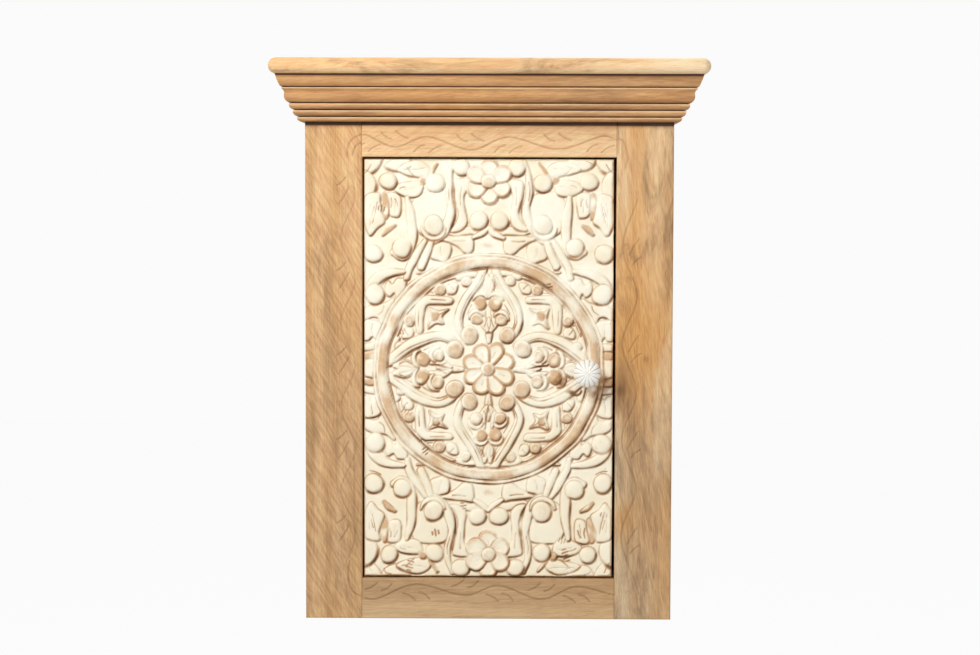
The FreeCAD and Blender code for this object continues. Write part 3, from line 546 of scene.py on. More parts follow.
@dataclass(frozen=True)
class RubbedLimewash:
    """White limewash over carved wood, rubbed through on the high parts and worn brown in the cuts, with
    brown also painted as shade on the forms' lower right sides and in hollows.

    Attributes:
        cream: Colour of the clean limewash.
        aged: Colour where it has yellowed.
        tan: Colour of the wood where the white is rubbed through.
        brown: Colour of the wood in the cuts.
        dark: Colour of the deepest lines.
        foot: Share of the yellowed colour at the door's foot, painted shade that darkens the door towards the
            bottom.
        bare: Share of wood where the white is rubbed through.
        dirt_and_shade: Share of brown where the groove mark is set: dirt in the cuts and painted shade.
        lines: Share of the dark colour in the deepest lines.
        chips: Share of brown in the small chips.
    """

    cream: Colour = tone(252, 247, 229)
    aged: Colour = tone(245, 233, 205)
    tan: Colour = tone(214, 176, 134)
    brown: Colour = tone(176, 128, 82)
    dark: Colour = tone(112, 82, 54)
    foot: float = 0.65
    bare: float = 0.95
    dirt_and_shade: float = 0.9
    lines: float = 0.9
    chips: float = 0.6

    def make(self, patterns: Patterns) -> bpy.types.Material:
        """Make the material.

        Args:
            patterns: The shared node groups.

        Returns:
            The material.
        """
        material, desk, shader = new_material("rubbed_limewash")
        vector = coordinates(desk, Grain.ALONG_Z.value, (0.0, 0.0, 0.0))
        wear = desk.group(patterns.wear, Vector=vector)
        wood = desk.group(patterns.wood, Vector=vector, Slant=0.1, Rings=12.0)
        groove, rubbed = desk.mark("groove"), desk.mark("rubbed")
        broad = desk.noise(vector, scale=24.0, detail=3.0, rough=0.6)
        fine = desk.noise(vector, scale=170.0, detail=4.0, rough=0.65)
        brush = desk.drawn(vector, 0.12, scale=420.0, detail=3.0, rough=0.6)
        nicks = desk.drawn(vector, 0.3, scale=210.0, detail=2.0, rough=0.6, bend=1.2)
        patchy = desk.calc("MULTIPLY_ADD", fine, 0.9, desk.calc("MULTIPLY_ADD", brush, 0.5, -0.35))
        worn = desk.calc("MULTIPLY", rubbed, desk.calc("MULTIPLY_ADD", broad, 1.4, patchy))
        # The groove mark is dirt in the cuts and painted shade on the forms' lower right sides and in
        # hollows.
        cuts = desk.calc("MULTIPLY", groove, desk.calc("MULTIPLY_ADD", broad, 1.3, 0.1))
        deep = desk.ease(desk.calc("MULTIPLY_ADD", fine, 0.25, cuts), 0.22, 0.85)
        line = desk.calc("MULTIPLY", groove, desk.calc("MULTIPLY_ADD", fine, 0.7, 0.65))
        colour = desk.mix(desk.ease(broad, 0.35, 0.7), self.cream, self.aged)
        for over, where, share in (
                # Painted shade: yellower and darker towards the door's foot.
                (self.aged, desk.level(-0.25, -0.5), self.foot),
                (self.tan, desk.ease(worn, 0.2, 0.9), self.bare),
                (self.brown, deep, self.dirt_and_shade),
                (self.dark, desk.ease(line, 0.78, 1.3), self.lines),
                (self.brown, desk.ease(nicks, 0.72, 0.8), self.chips)):
            colour = desk.tint(colour, over, where, share)
        height = desk.calc("MULTIPLY_ADD", brush, 0.7, desk.calc("MULTIPLY", fine, 0.6))
        height = desk.calc("MULTIPLY_ADD", wood["Pores"], -0.4, height)
        desk.feed(shader.inputs["Base Color"], colour)
        desk.feed(shader.inputs["Roughness"], desk.span(wear["Smudge"], 0.52, 0.68))
        desk.feed(shader.inputs["Normal"], desk.bump(height, strength=0.4, distance=0.0005))
        shader.inputs["Specular IOR Level"].default_value = 0.3
        return material


@dataclass(frozen=True)
class MetalFinish:
    """Plain metal, a little tarnished.

    Attributes:
        name: Finish name.
        bright: Colour of the clean metal.
        dull: Colour of the tarnish.
        rough: Roughness of the clean metal.
    """

    name: str
    bright: Colour
    dull: Colour
    rough: float

    def make(self, patterns: Patterns) -> bpy.types.Material:
        """Make the material.

        Args:
            patterns: The shared node groups.

        Returns:
            The material.
        """
        material, desk, shader = new_material(self.name)
        vector = coordinates(desk, Grain.ALONG_X.value, (0.3, 0.1, 0.2))
        wear = desk.group(patterns.wear, Vector=vector)
        spots = desk.ease(desk.noise(vector, scale=90.0, detail=3.0, rough=0.5), 0.4, 0.75)
        rough = desk.calc("MULTIPLY_ADD", wear["Smudge"], 0.16, self.rough)
        desk.feed(shader.inputs["Base Color"], desk.tint(self.bright, self.dull, spots, 0.6))
        desk.feed(shader.inputs["Roughness"], desk.calc("MULTIPLY_ADD", wear["Scratch"], 0.1, rough))
        desk.feed(shader.inputs["Normal"], desk.bump(wear["Scratch"], strength=0.15, distance=0.0002))
        shader.inputs["Metallic"].default_value = 1.0
        return material


@dataclass(frozen=True)
class GlossFinish:
    """A dense smooth body such as glazed ceramic, moulded plastic or ferrite.

    Attributes:
        name: Finish name.
        body: Main colour.
        tint: Colour of the faint clouding.
        rough: Roughness.
        coat: Weight of the clear glaze.
        speckle: Depth in metres of the surface's fine unevenness.
        dust_and_shade: Colour of the dust in its grooves, and of the painted shade there.
    """

    name: str
    body: Colour
    tint: Colour
    rough: float
    coat: float
    speckle: float
    dust_and_shade: Colour = tone(210, 204, 194)

    def make(self, patterns: Patterns) -> bpy.types.Material:
        """Make the material.

        Args:
            patterns: The shared node groups.

        Returns:
            The material.
        """
        material, desk, shader = new_material(self.name)
        vector = coordinates(desk, Grain.ALONG_X.value, (0.1, 0.4, 0.2))
        smudge = desk.group(patterns.wear, Vector=vector)["Smudge"]
        cloud = desk.noise(vector, scale=120.0, detail=3.0, rough=0.55)
        colour = desk.mix(desk.ease(cloud, 0.35, 0.7), self.body, self.tint)
        # Dust and painted shade in the grooves between the knob's lobes.
        dust_and_shade_share = desk.ease(desk.mark("groove"), 0.25, 0.9)
        uneven = desk.noise(vector, scale=500.0)
        desk.feed(shader.inputs["Base Color"], desk.mix(dust_and_shade_share, colour, self.dust_and_shade))
        desk.feed(shader.inputs["Roughness"], desk.span(smudge, self.rough, self.rough + 0.1))
        desk.feed(shader.inputs["Normal"], desk.bump(uneven, strength=0.2, distance=self.speckle))
        shader.inputs["Coat Weight"].default_value = self.coat
        shader.inputs["Coat Roughness"].default_value = 0.08
        return material


@dataclass
class Workshop:
    """What every sub-assembly needs: the frame's nodes and the finishes.

    Attributes:
        nodes: The frame's nodes by name.
        patterns: The shared shader groups.
        honey: Wood of the left stile and the sides.
        figured: Wood of the right stile.
        amber: Wood of the moulding.
        straw: Wood of the cap.
        pale: Wood of the top rail.
        drift: Wood of the bottom rail.
        inner: Wood of the boards inside.
        limewash: Finish of the door.
        brass: Finish of the bushes and the knob's collar.
        steel: Finish of the plain fittings.
        oiled: Finish of the pivot pins.
        bronzed: Finish of the thrust washer.
        glaze: Finish of the knob.
        moulded: Finish of the catch's body.
        ferrite: Finish of the catch's magnet.
        stride: Steps in metres from one board's place in the pattern to the next one's.
        wrap: Lengths after which the second and third steps begin again.
        count: Boards made so far.
    """

    nodes: dict[str, bpy.types.Object]
    patterns: Patterns = field(default_factory=Patterns)
    honey: WoodFinish = WoodFinish(
        "honey_mango", pale=tone(221, 180, 132), deep=tone(198, 154, 105), streak=tone(156, 124, 91),
        glow=tone(218, 165, 103), slant=0.5, hatch=0.55, foot=0.3)
    figured: WoodFinish = WoodFinish(
        "figured_mango", pale=tone(241, 214, 174), deep=tone(208, 167, 121), streak=tone(136, 108, 80),
        glow=tone(221, 162, 92), slant=0.2, rings=7.0, streaks=0.75, glows=0.75, hatch=0.4, swirls=0.7,
        foot=0.42)
    amber: WoodFinish = WoodFinish(
        "amber_mango", pale=tone(218, 171, 119), deep=tone(188, 139, 90), streak=tone(148, 112, 80),
        glow=tone(210, 151, 92), slant=0.1, rings=10.0, streaks=0.6, hatch=0.35)
    straw: WoodFinish = WoodFinish(
        "straw_mango", pale=tone(250, 222, 180), deep=tone(218, 174, 124), streak=tone(148, 108, 72),
        glow=tone(242, 194, 134), slant=0.12, rings=9.0, streaks=0.75, glows=0.6, hatch=0.4, swirls=0.75,
        foot=0.0)
    pale: WoodFinish = WoodFinish(
        "pale_mango", pale=tone(234, 198, 152), deep=tone(214, 172, 124), streak=tone(170, 132, 96),
        glow=tone(232, 184, 126), slant=0.5, rings=6.0, hatch=0.35, foot=0.0)
    drift: WoodFinish = WoodFinish(
        "drift_mango", pale=tone(212, 178, 134), deep=tone(186, 150, 108), streak=tone(150, 122, 92),
        glow=tone(204, 156, 104), slant=0.15, rings=6.0, streaks=0.6, glows=0.3)
    inner: WoodFinish = WoodFinish(
        "inner_mango", pale=tone(218, 180, 134), deep=tone(190, 148, 104), streak=tone(156, 122, 90),
        glow=tone(206, 158, 106), slant=0.2, rings=10.0, streaks=0.4)
    limewash: RubbedLimewash = RubbedLimewash()
    brass: MetalFinish = MetalFinish("aged_brass", tone(206, 166, 92), tone(150, 112, 62), rough=0.3)
    steel: MetalFinish = MetalFinish("zinc_steel", tone(196, 198, 200), tone(140, 142, 146), rough=0.32)
    oiled: MetalFinish = MetalFinish("oiled_steel", tone(84, 78, 72), tone(52, 46, 42), rough=0.5)
    bronzed: MetalFinish = MetalFinish("bronzed_brass", tone(96, 72, 42), tone(60, 44, 28), rough=0.5)
    glaze: GlossFinish = GlossFinish(
        "white_glaze", tone(250, 248, 243), tone(242, 238, 229), rough=0.1, coat=0.7, speckle=0.00006)
    moulded: GlossFinish = GlossFinish(
        "catch_plastic", tone(120, 84, 56), tone(104, 72, 48), rough=0.42, coat=0.0, speckle=0.0001)
    ferrite: GlossFinish = GlossFinish(
        "ferrite", tone(58, 58, 60), tone(44, 44, 47), rough=0.55, coat=0.0, speckle=0.0001)
    stride: tuple[float, float, float] = (0.37, 0.83, 1.31)
    wrap: Point = (2.1, 3.7)
    count: int = 0

    def wood(self, finish: WoodFinish, label: str, grain: Grain) -> bpy.types.Material:
        """Make the wood of one board, at its own place in the pattern.

        Args:
            finish: The wood's tint.
            label: Name of the board.
            grain: Direction of its fibres.

        Returns:
            The material.
        """
        self.count += 1
        along, aside, through = (step * self.count for step in self.stride)
        return finish.make(self.patterns, label, grain, (along, aside % self.wrap[0], through % self.wrap[1]))

    def dress_node(self, name: str, material: bpy.types.Material) -> None:
        """Give a CAD node that keeps its shape a better material.

        Args:
            name: The node's name.
            material: The material.
        """
        slots = self.nodes[name].data.materials
        slots.clear()
        slots.append(material)
        LOG.info("dressed %s with %s", name, material.name)

    def hand_in(self, piece: bpy.types.Object, body: Body, slot: str, material: bpy.types.Material,
                *nodes: str) -> None:
        """Finish a piece: material, body, slot and the nodes that it stands for.

        Args:
            piece: The piece.
            body: Body that it rides on.
            slot: The record's material slot; not used.
            material: The material.
            *nodes: CAD nodes that it replaces.
        """
        piece.data.materials.append(material)
        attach(piece, body.value)
        if nodes:
            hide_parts(*nodes)
        LOG.info("built %s, %d faces", piece.name, len(piece.data.polygons))


def to_object(name: str, mesh: bmesh.types.BMesh, smooth_angle: float | None = None) -> bpy.types.Object:
    """Turn a bmesh into an object of the scene.

    Args:
        name: The piece's name.
        mesh: The bmesh, which is freed.
        smooth_angle: Edges flatter than this many degrees are shaded smooth; None keeps facets.

    Returns:
        The object.
    """
    data = bpy.data.meshes.new(name)
    mesh.to_mesh(data)
    mesh.free()
    if smooth_angle is not None:
        data.shade_smooth()
        data.set_sharp_from_angle(angle=math.radians(smooth_angle))
    piece = bpy.data.objects.new(name, data)
    bpy.context.scene.collection.objects.link(piece)
    return piece


def curve_through(points: Sequence[Point], steps: int = 8) -> np.ndarray:
    """Draw a smooth line through points.

    Args:
        points: The points, in order.
        steps: Straight steps between two points.

    Returns:
        The line's points, one row each.
    """
    stops = np.array(points, float)
    ends = np.vstack([2 * stops[0] - stops[1], stops, 2 * stops[-1] - stops[-2]])
    share = np.linspace(0.0, 1.0, steps, endpoint=False)[:, None]
    runs = []
    for first in range(len(stops) - 1):
        a, b, c, d = ends[first:first + 4]
        runs.append(b + 0.5 * share * (c - a + share * (2 * a - 5 * b + 4 * c - d
                                                        + share * (3 * (b - c) + d - a))))
    runs.append(stops[-1:])
    return np.vstack(runs)


@dataclass
class CarvedFace:
    """Heights and colour marks of a carved face, worked form by form. Lengths are millimetres.

    Attributes:
        across: Distance of each point to the right of the face's middle, in rows from below.
        up: Distance of each point above the middle.
        ground: Height of the ground between the forms.
        fold: How the motif in work repeats.
        melt: How softly a form's upper left side runs into its neighbours.
        lee: Direction of the sharp sides, across and up; they face away from the lamps and get painted shade.
        bulge: How much fuller the left and right petals are near their tips, as a share of their width.
        pinch: How much slimmer the upper and lower petals are.
        tip: Distance from the middle where the left and right petals are fullest.
        tip_reach: How far from there that fades.
        sway: Reach of the carver's unsteady hand.
        crisp: Width over which a form's sharp side rises.
        thread: Share of brown in the thin line all round a form.
        shoulder: Height of a form's edge, as a share of its rise.
        fullness: Height at which a rounded form would level off, as a share of the rise from its edge.
        far: Distance beyond which a form changes nothing.
        columns: Points in a row.
        height: Height of each point.
        groove: Share of brown: dirt in the cuts, and painted shade under the forms, in hollows and under the
            moulding.
        rubbed: Share of bare wood on the high parts, or of pale sapwood on a plain board.
        heart: Share of amber heart wood.
    """

    across: np.ndarray
    up: np.ndarray
    ground: float
    fold: Fold = Fold.QUARTERS
    melt: float = 4.2
    lee: Point = (0.45, -0.9)
    bulge: float = 0.25
    pinch: float = 0.08
    tip: float = 94.0
    tip_reach: float = 20.0
    sway: float = 1.3
    crisp: float = 0.9
    thread: float = 0.62
    shoulder: float = 0.5
    fullness: float = 1.08
    far: float = 9.0
    columns: int = field(init=False)
    height: np.ndarray = field(init=False)
    groove: np.ndarray = field(init=False)
    rubbed: np.ndarray = field(init=False)
    heart: np.ndarray = field(init=False)

    def __post_init__(self) -> None:
        """Start from a bare ground."""
        self.columns = int(np.argmax(np.diff(self.across) < 0.0)) + 1
        self.height = np.full(self.across.shape, self.ground)
        self.groove, self.rubbed, self.heart = np.zeros((3, *self.across.shape))

    def wander(self, reach: float, length: float, turn: float) -> np.ndarray:
        """Make the small unevenness of hand work.

        Args:
            reach: Largest deviation.
            length: Length over which it changes.
            turn: Where the pattern starts, so that two differ.

        Returns:
            The deviation at each point.
        """
        x = self.across / length
        z = self.up / length
        waves = np.sin(1.3 * x + 2.1 * z + turn) + np.sin(2.3 * x - 1.7 * z + 2.2 * turn)
        return reach * 0.4 * (waves + 0.6 * np.sin(3.7 * z + 0.9 * x + 3.1 * turn))

    def here(self) -> tuple[np.ndarray, np.ndarray]:
        """Give the points' places in the motif in work.

        Returns:
            Two coordinates; for petals, the way out from the middle and the way aside.
        """
        if self.fold is Fold.PLAIN:
            return self.across, self.up
        x = self.across + self.wander(self.sway, 21.0, 0.4)
        z = self.up + self.wander(self.sway, 25.0, 1.9)
        if self.fold is Fold.ONCE:
            return x, z
        x, z = np.abs(x), np.abs(z)
        if self.fold is Fold.QUARTERS:
            return x, z
        out, aside = np.maximum(x, z), np.minimum(x, z)
        fuller = 1.0 - self.bulge * np.exp(-((out - self.tip) / self.tip_reach) ** 2)
        return out, aside * np.where(x > z, fuller, 1.0 + self.pinch)

    def lay(self, distance: np.ndarray, rise: np.ndarray | float, rub: float = 0.0, cut: float = 0.9,
            line: float = 1.6) -> None:
        """Set a form on the face with a cut line round it, broad under its lower right edge, where its brown
        is partly painted shade.

        Args:
            distance: Signed distance to the form's outline, negative inside.
            rise: Height of the form's surface.
            rub: Share of bare wood on it.
            cut: Depth of the line.
            line: Width of the line.
        """
        lee = self.lee_side(distance)
        inside = np.clip(0.5 - distance / (self.crisp + self.melt * (1.0 - lee)), 0.0, 1.0)
        inside = inside * inside * (3.0 - 2.0 * inside)
        # Painted shade: the line's brown is strongest along the lower right side, away from the lamps; the
        # rest is dirt in the cut.
        rim = np.exp(-((distance - 0.2 * line) / line) ** 2) * lee ** 2
        thin = self.thread * np.exp(-(distance - 0.2) ** 2)
        worn = rub * np.clip(0.85 + self.wander(0.7, 8.0, 2.2), 0.1, 1.2)
        self.height = (1.0 - inside) * (self.height - cut * rim) + inside * rise
        self.rubbed = (1.0 - inside) * self.rubbed + inside * worn
        self.groove = np.maximum((1.0 - inside) * self.groove, np.maximum(rim, thin))

    def swell(self, gap: np.ndarray, top: float, soft: float, rub: float) -> None:
        """Set a form with a full, nearly flat top.

        Args:
            gap: Signed distance to its outline.
            top: Height of its top.
            soft: How far in from the edge it rounds up.
            rub: Share of bare wood on it.
        """
        low = self.ground + self.shoulder * (top - self.ground)
        rounded = 1.0 - np.exp(-np.maximum(-gap, 0.0) / soft)
        self.lay(gap, low + (top - low) * rounded * self.fullness, rub)

    def lee_side(self, distance: np.ndarray) -> np.ndarray:
        """Find the lower right side of a form, where the carver undercut it most and where brown is painted
        as shade.

        Args:
            distance: Signed distance to the form's outline.

        Returns:
            One at its lower right edges and nought at its upper left ones.
        """
        rise, run = np.gradient(distance.reshape(-1, self.columns))
        length = np.maximum(np.hypot(rise, run), 1e-6)
        facing = (self.lee[0] * run + self.lee[1] * rise) / length
        return np.clip(0.55 + 0.75 * facing.ravel(), 0.0, 1.0)

    def score(self, distance: np.ndarray, depth: float, width: float, stain: float = 0.0) -> None:
        """Cut a line.

        Args:
            distance: Distance to the line's middle.
            depth: Depth of the cut.
            width: Half width of the cut.
            stain: Share of brown in it.
        """
        share = np.exp(-((distance / width) ** 2))
        self.height = self.height - depth * share
        self.groove = np.maximum(self.groove, stain * share)

    def line_distance(self, points: Sequence[Sequence[float]]) -> tuple[np.ndarray, np.ndarray]:
        """Measure to a smooth line, or to a swelling band.

        Args:
            points: Points of the line, each with a half width as its third number for a band.

        Returns:
            The distance to the line or band, negative inside it, and the share of its length there.
        """
        x, z = self.here()
        line = curve_through([tuple(point) + (0.0,) if len(point) == 2 else point for point in points])
        best = np.full(x.shape, 1e9)
        share = np.zeros(x.shape)
        last = len(line) - 1
        for step in range(last):
            run = line[step + 1] - line[step]
            along = (x - line[step, 0]) * run[0] + (z - line[step, 1]) * run[1]
            along = np.clip(along / max(1e-9, float(run[:2] @ run[:2])), 0.0, 1.0)
            gap = np.hypot(x - line[step, 0] - along * run[0], z - line[step, 1] - along * run[1])
            gap = gap - line[step, 2] - along * run[2]
            nearer = gap < best
            best = np.where(nearer, gap, best)
            share = np.where(nearer, (step + along) / last, share)
        return best, share

    def boss(self, x: float, z: float, radius: float, top: float = 6.4, rub: float = 0.0) -> None:
        """Set a domed boss.

        Args:
            x: Its middle across.
            z: Its middle up.
            radius: Its radius.
            top: Height of its crown.
            rub: Share of bare wood on it.
        """
        px, pz = self.here()
        reach = np.hypot(px - x, pz - z)
        dome = np.clip(1.0 - (reach / (radius * 1.04)) ** 3.2, 0.0, 1.0) ** 0.55
        worn = rub * np.clip(1.25 - (reach / radius) ** 2, 0.0, 1.0)
        self.lay(reach - radius, self.ground + (top - self.ground) * dome, cut=1.2, line=1.3 + 0.07 * radius)
        self.rubbed = np.maximum(self.rubbed, np.where(reach < radius, worn, 0.0))

    def pad(self, points: Sequence[Sequence[float]], top: float = 4.6, soft: float = 1.2, rub: float = 0.0,
            vein: float = 0.0) -> None:
        """Set a leaf, stem or petal: a band that swells and narrows, with a full rounded top.

        Args:
            points: Points of its middle line, each with its half width.
            top: Height of its top.
            soft: How far in from the edge it rounds up.
            rub: Share of bare wood on it.
            vein: Depth of a cut along its middle.
        """
        gap = self.line_distance(points)[0]
        self.swell(gap, top, soft, rub)
        if vein:
            middle, share = self.line_distance([point[:2] for point in points])
            within = (gap < -0.8) & (share > 0.08) & (share < 0.85)
            self.score(np.where(within, middle, self.far), vein, width=0.9, stain=0.4)

    def plate(self, outline: Sequence[Point], top: float = 4.6, soft: float = 1.4, rub: float = 0.0) -> None:
        """Set a broad leaf or lobe, drawn by its outline.

        Args:
            outline: Points round it.
            top: Height of its top.
            soft: How far in from the edge it rounds up.
            rub: Share of bare wood on it.
        """
        steps = 5
        points = list(outline)
        loop = curve_through(points[-1:] + points + points[:2], steps)[steps:steps * (len(points) + 1)]
        x, z = self.here()
        low, high = loop.min(axis=0) - self.far, loop.max(axis=0) + self.far
        near = (x > low[0]) & (x < high[0]) & (z > low[1]) & (z < high[1])
        x, z = x[near], z[near]
        best = np.full(x.shape, self.far ** 2)
        inside = np.zeros(x.shape, bool)
        for first, second in zip(loop, np.roll(loop, -1, axis=0)):
            run = second - first
            along = np.clip(((x - first[0]) * run[0] + (z - first[1]) * run[1]) / (run @ run), 0.0, 1.0)
            square = (x - first[0] - along * run[0]) ** 2 + (z - first[1] - along * run[1]) ** 2
            best = np.minimum(best, square)
            crossed = (first[1] > z) != (second[1] > z)
            inside ^= crossed & (x < first[0] + (z - first[1]) * run[0] / (run[1] or 1e-9))
        gap = np.full(near.shape, self.far)
        gap[near] = np.where(inside, -1.0, 1.0) * np.sqrt(best)
        self.swell(gap, top, soft, rub)

    def stroke(self, points: Sequence[Point], half: float = 0.9, depth: float = 0.7,
               stain: float = 0.8) -> None:
        """Cut one short line of the knife.

        Args:
            points: Points of the line.
            half: Its half width.
            depth: Its depth.
            stain: Share of brown in it.
        """
        gap, share = self.line_distance(points)
        ends = np.clip(8.0 * np.minimum(share, 1.0 - share) + 0.4, 0.0, 1.0)
        self.score(gap / ends, depth, half, stain)

    def arc(self, x: float, z: float, radius: float, half: float, start: float, sweep: float,
            top: float) -> None:
        """Set a crescent along an arc.

        Args:
            x: The arc's centre across.
            z: The arc's centre up.
            radius: Radius of its middle line.
            half: Its half width in the middle.
            start: Angle of its first end in degrees.
            sweep: Angle that it covers in degrees.
            top: Height of its top.
        """
        points = []
        for share in np.linspace(0.0, 1.0, 7):
            turn = math.radians(start + sweep * share)
            wide = half * (0.35 + 0.65 * math.sin(math.pi * share))
            points.append((x + radius * math.cos(turn), z + radius * math.sin(turn), wide))
        self.pad(points, top)

    @staticmethod
    def blur(grid: np.ndarray, reach: float) -> np.ndarray:
        """Soften a grid of values.

        Args:
            grid: The values in rows and columns.
            reach: Spread of the softening, in cells.

        Returns:
            The softened values.
        """
        span = max(1, int(round(2.5 * reach)))
        weights = np.exp(-0.5 * (np.arange(-span, span + 1) / reach) ** 2)
        weights /= weights.sum()
        for axis in (0, 1):
            widths = [(span, span) if way == axis else (0, 0) for way in (0, 1)]
            padded = np.pad(grid, widths, mode="edge")
            size = grid.shape[axis]
            grid = sum(weight * np.take(padded, range(step, step + size), axis=axis)
                       for step, weight in enumerate(weights))
        return grid

    def weather_and_shade(self, cell: float) -> None:
        """Work out where brown stays in the cuts, where it is painted as shade on slopes facing down and
        right and in hollows, growing towards the door's foot, and where the white is rubbed off the edges.

        Args:
            cell: Distance between neighbouring points.
        """
        grid = self.height.reshape(-1, self.columns)
        near = self.blur(grid, 1.6 / cell)
        wide = self.blur(grid, 5.0 / cell)
        # Painted shade: brown in hollows and on slopes that face away from the lamps.
        hollow = np.clip((wide - grid) / 2.2, 0.0, 1.0)
        rise, run = np.gradient(grid, cell)
        under = np.clip(-(self.lee[0] * run + self.lee[1] * rise) / 0.9, 0.0, 1.0)
        under = self.blur(under, 1.1 / cell)
        edge = np.clip((grid - near) / 0.5, 0.0, 1.0) * np.clip((grid - wide) / 1.6, 0.0, 1.0)
        brown = np.maximum(self.groove, (0.6 * under + 0.2 * hollow).ravel())
        patchy = np.clip(0.9 + self.wander(0.3, 11.0, 0.8) + self.wander(0.25, 29.0, 4.1), 0.4, 1.4)
        self.groove = brown * patchy * (1.1 - self.up / 1600.0)
        self.rubbed = np.clip(self.rubbed + 0.3 * edge.ravel(), 0.0, 1.0)


def relief_board(name: str, low: Vector, high: Vector, spacing: float,
                 carve: Callable[[np.ndarray, np.ndarray], CarvedFace]) -> bpy.types.Object:
    """Make a board whose front is carved: a fine grid with plain sides and back.

    Args:
        name: The piece's name.
        low: Lowest corner of the uncarved board in metres; its front is the plane of heights nought.
        high: Highest corner in metres.
        spacing: Size of the grid's cells in metres.
        carve: Gives the carving for distances in millimetres from the front's middle.

    Returns:
        The object, with the marks groove, rubbed and heart on its points.
    """
    size = high - low
    middle = (low + high) / 2
    mesh = bmesh.new()
    columns = max(4, round(size.x / spacing))
    rows = max(4, round(size.z / spacing))
    bmesh.ops.create_grid(mesh, x_segments=columns, y_segments=rows, size=0.5)
    place = Matrix.Translation((middle.x, low.y, middle.z)) @ Matrix.Rotation(math.pi / 2, 4, "X")
    bmesh.ops.transform(mesh, matrix=place @ Matrix.Diagonal((size.x, size.z, 1.0, 1.0)), verts=mesh.verts)
    front = len(mesh.verts)
    rim = [edge for edge in mesh.edges if edge.is_boundary]
    made = bmesh.ops.extrude_edge_only(mesh, edges=rim)
    moved = [item for item in made["geom"] if isinstance(item, bmesh.types.BMVert)]
    bmesh.ops.translate(mesh, vec=(0.0, size.y, 0.0), verts=moved)
    bmesh.ops.edgeloop_fill(mesh, edges=[edge for edge in mesh.edges if edge.is_boundary])
    bmesh.ops.recalc_face_normals(mesh, faces=mesh.faces)
    piece = to_object(name, mesh)
    data = piece.data
    points = np.zeros(len(data.vertices) * 3)
    data.vertices.foreach_get("co", points)
    points = points.reshape(-1, 3)
    face = carve((points[:front, 0] - middle.x) / MM, (points[:front, 2] - middle.z) / MM)
    points[:front, 1] = low.y - face.height * MM
    data.vertices.foreach_set("co", points.ravel())
    for mark, values in (("groove", face.groove), ("rubbed", face.rubbed), ("heart", face.heart)):
        stored = np.zeros(len(data.vertices))
        stored[:front] = values
        data.attributes.new(mark, "FLOAT", "POINT").data.foreach_set("value", stored)
    data.shade_smooth()
    data.set_sharp_from_angle(angle=math.radians(CARVED_CREASE))
    data.update()
    return piece


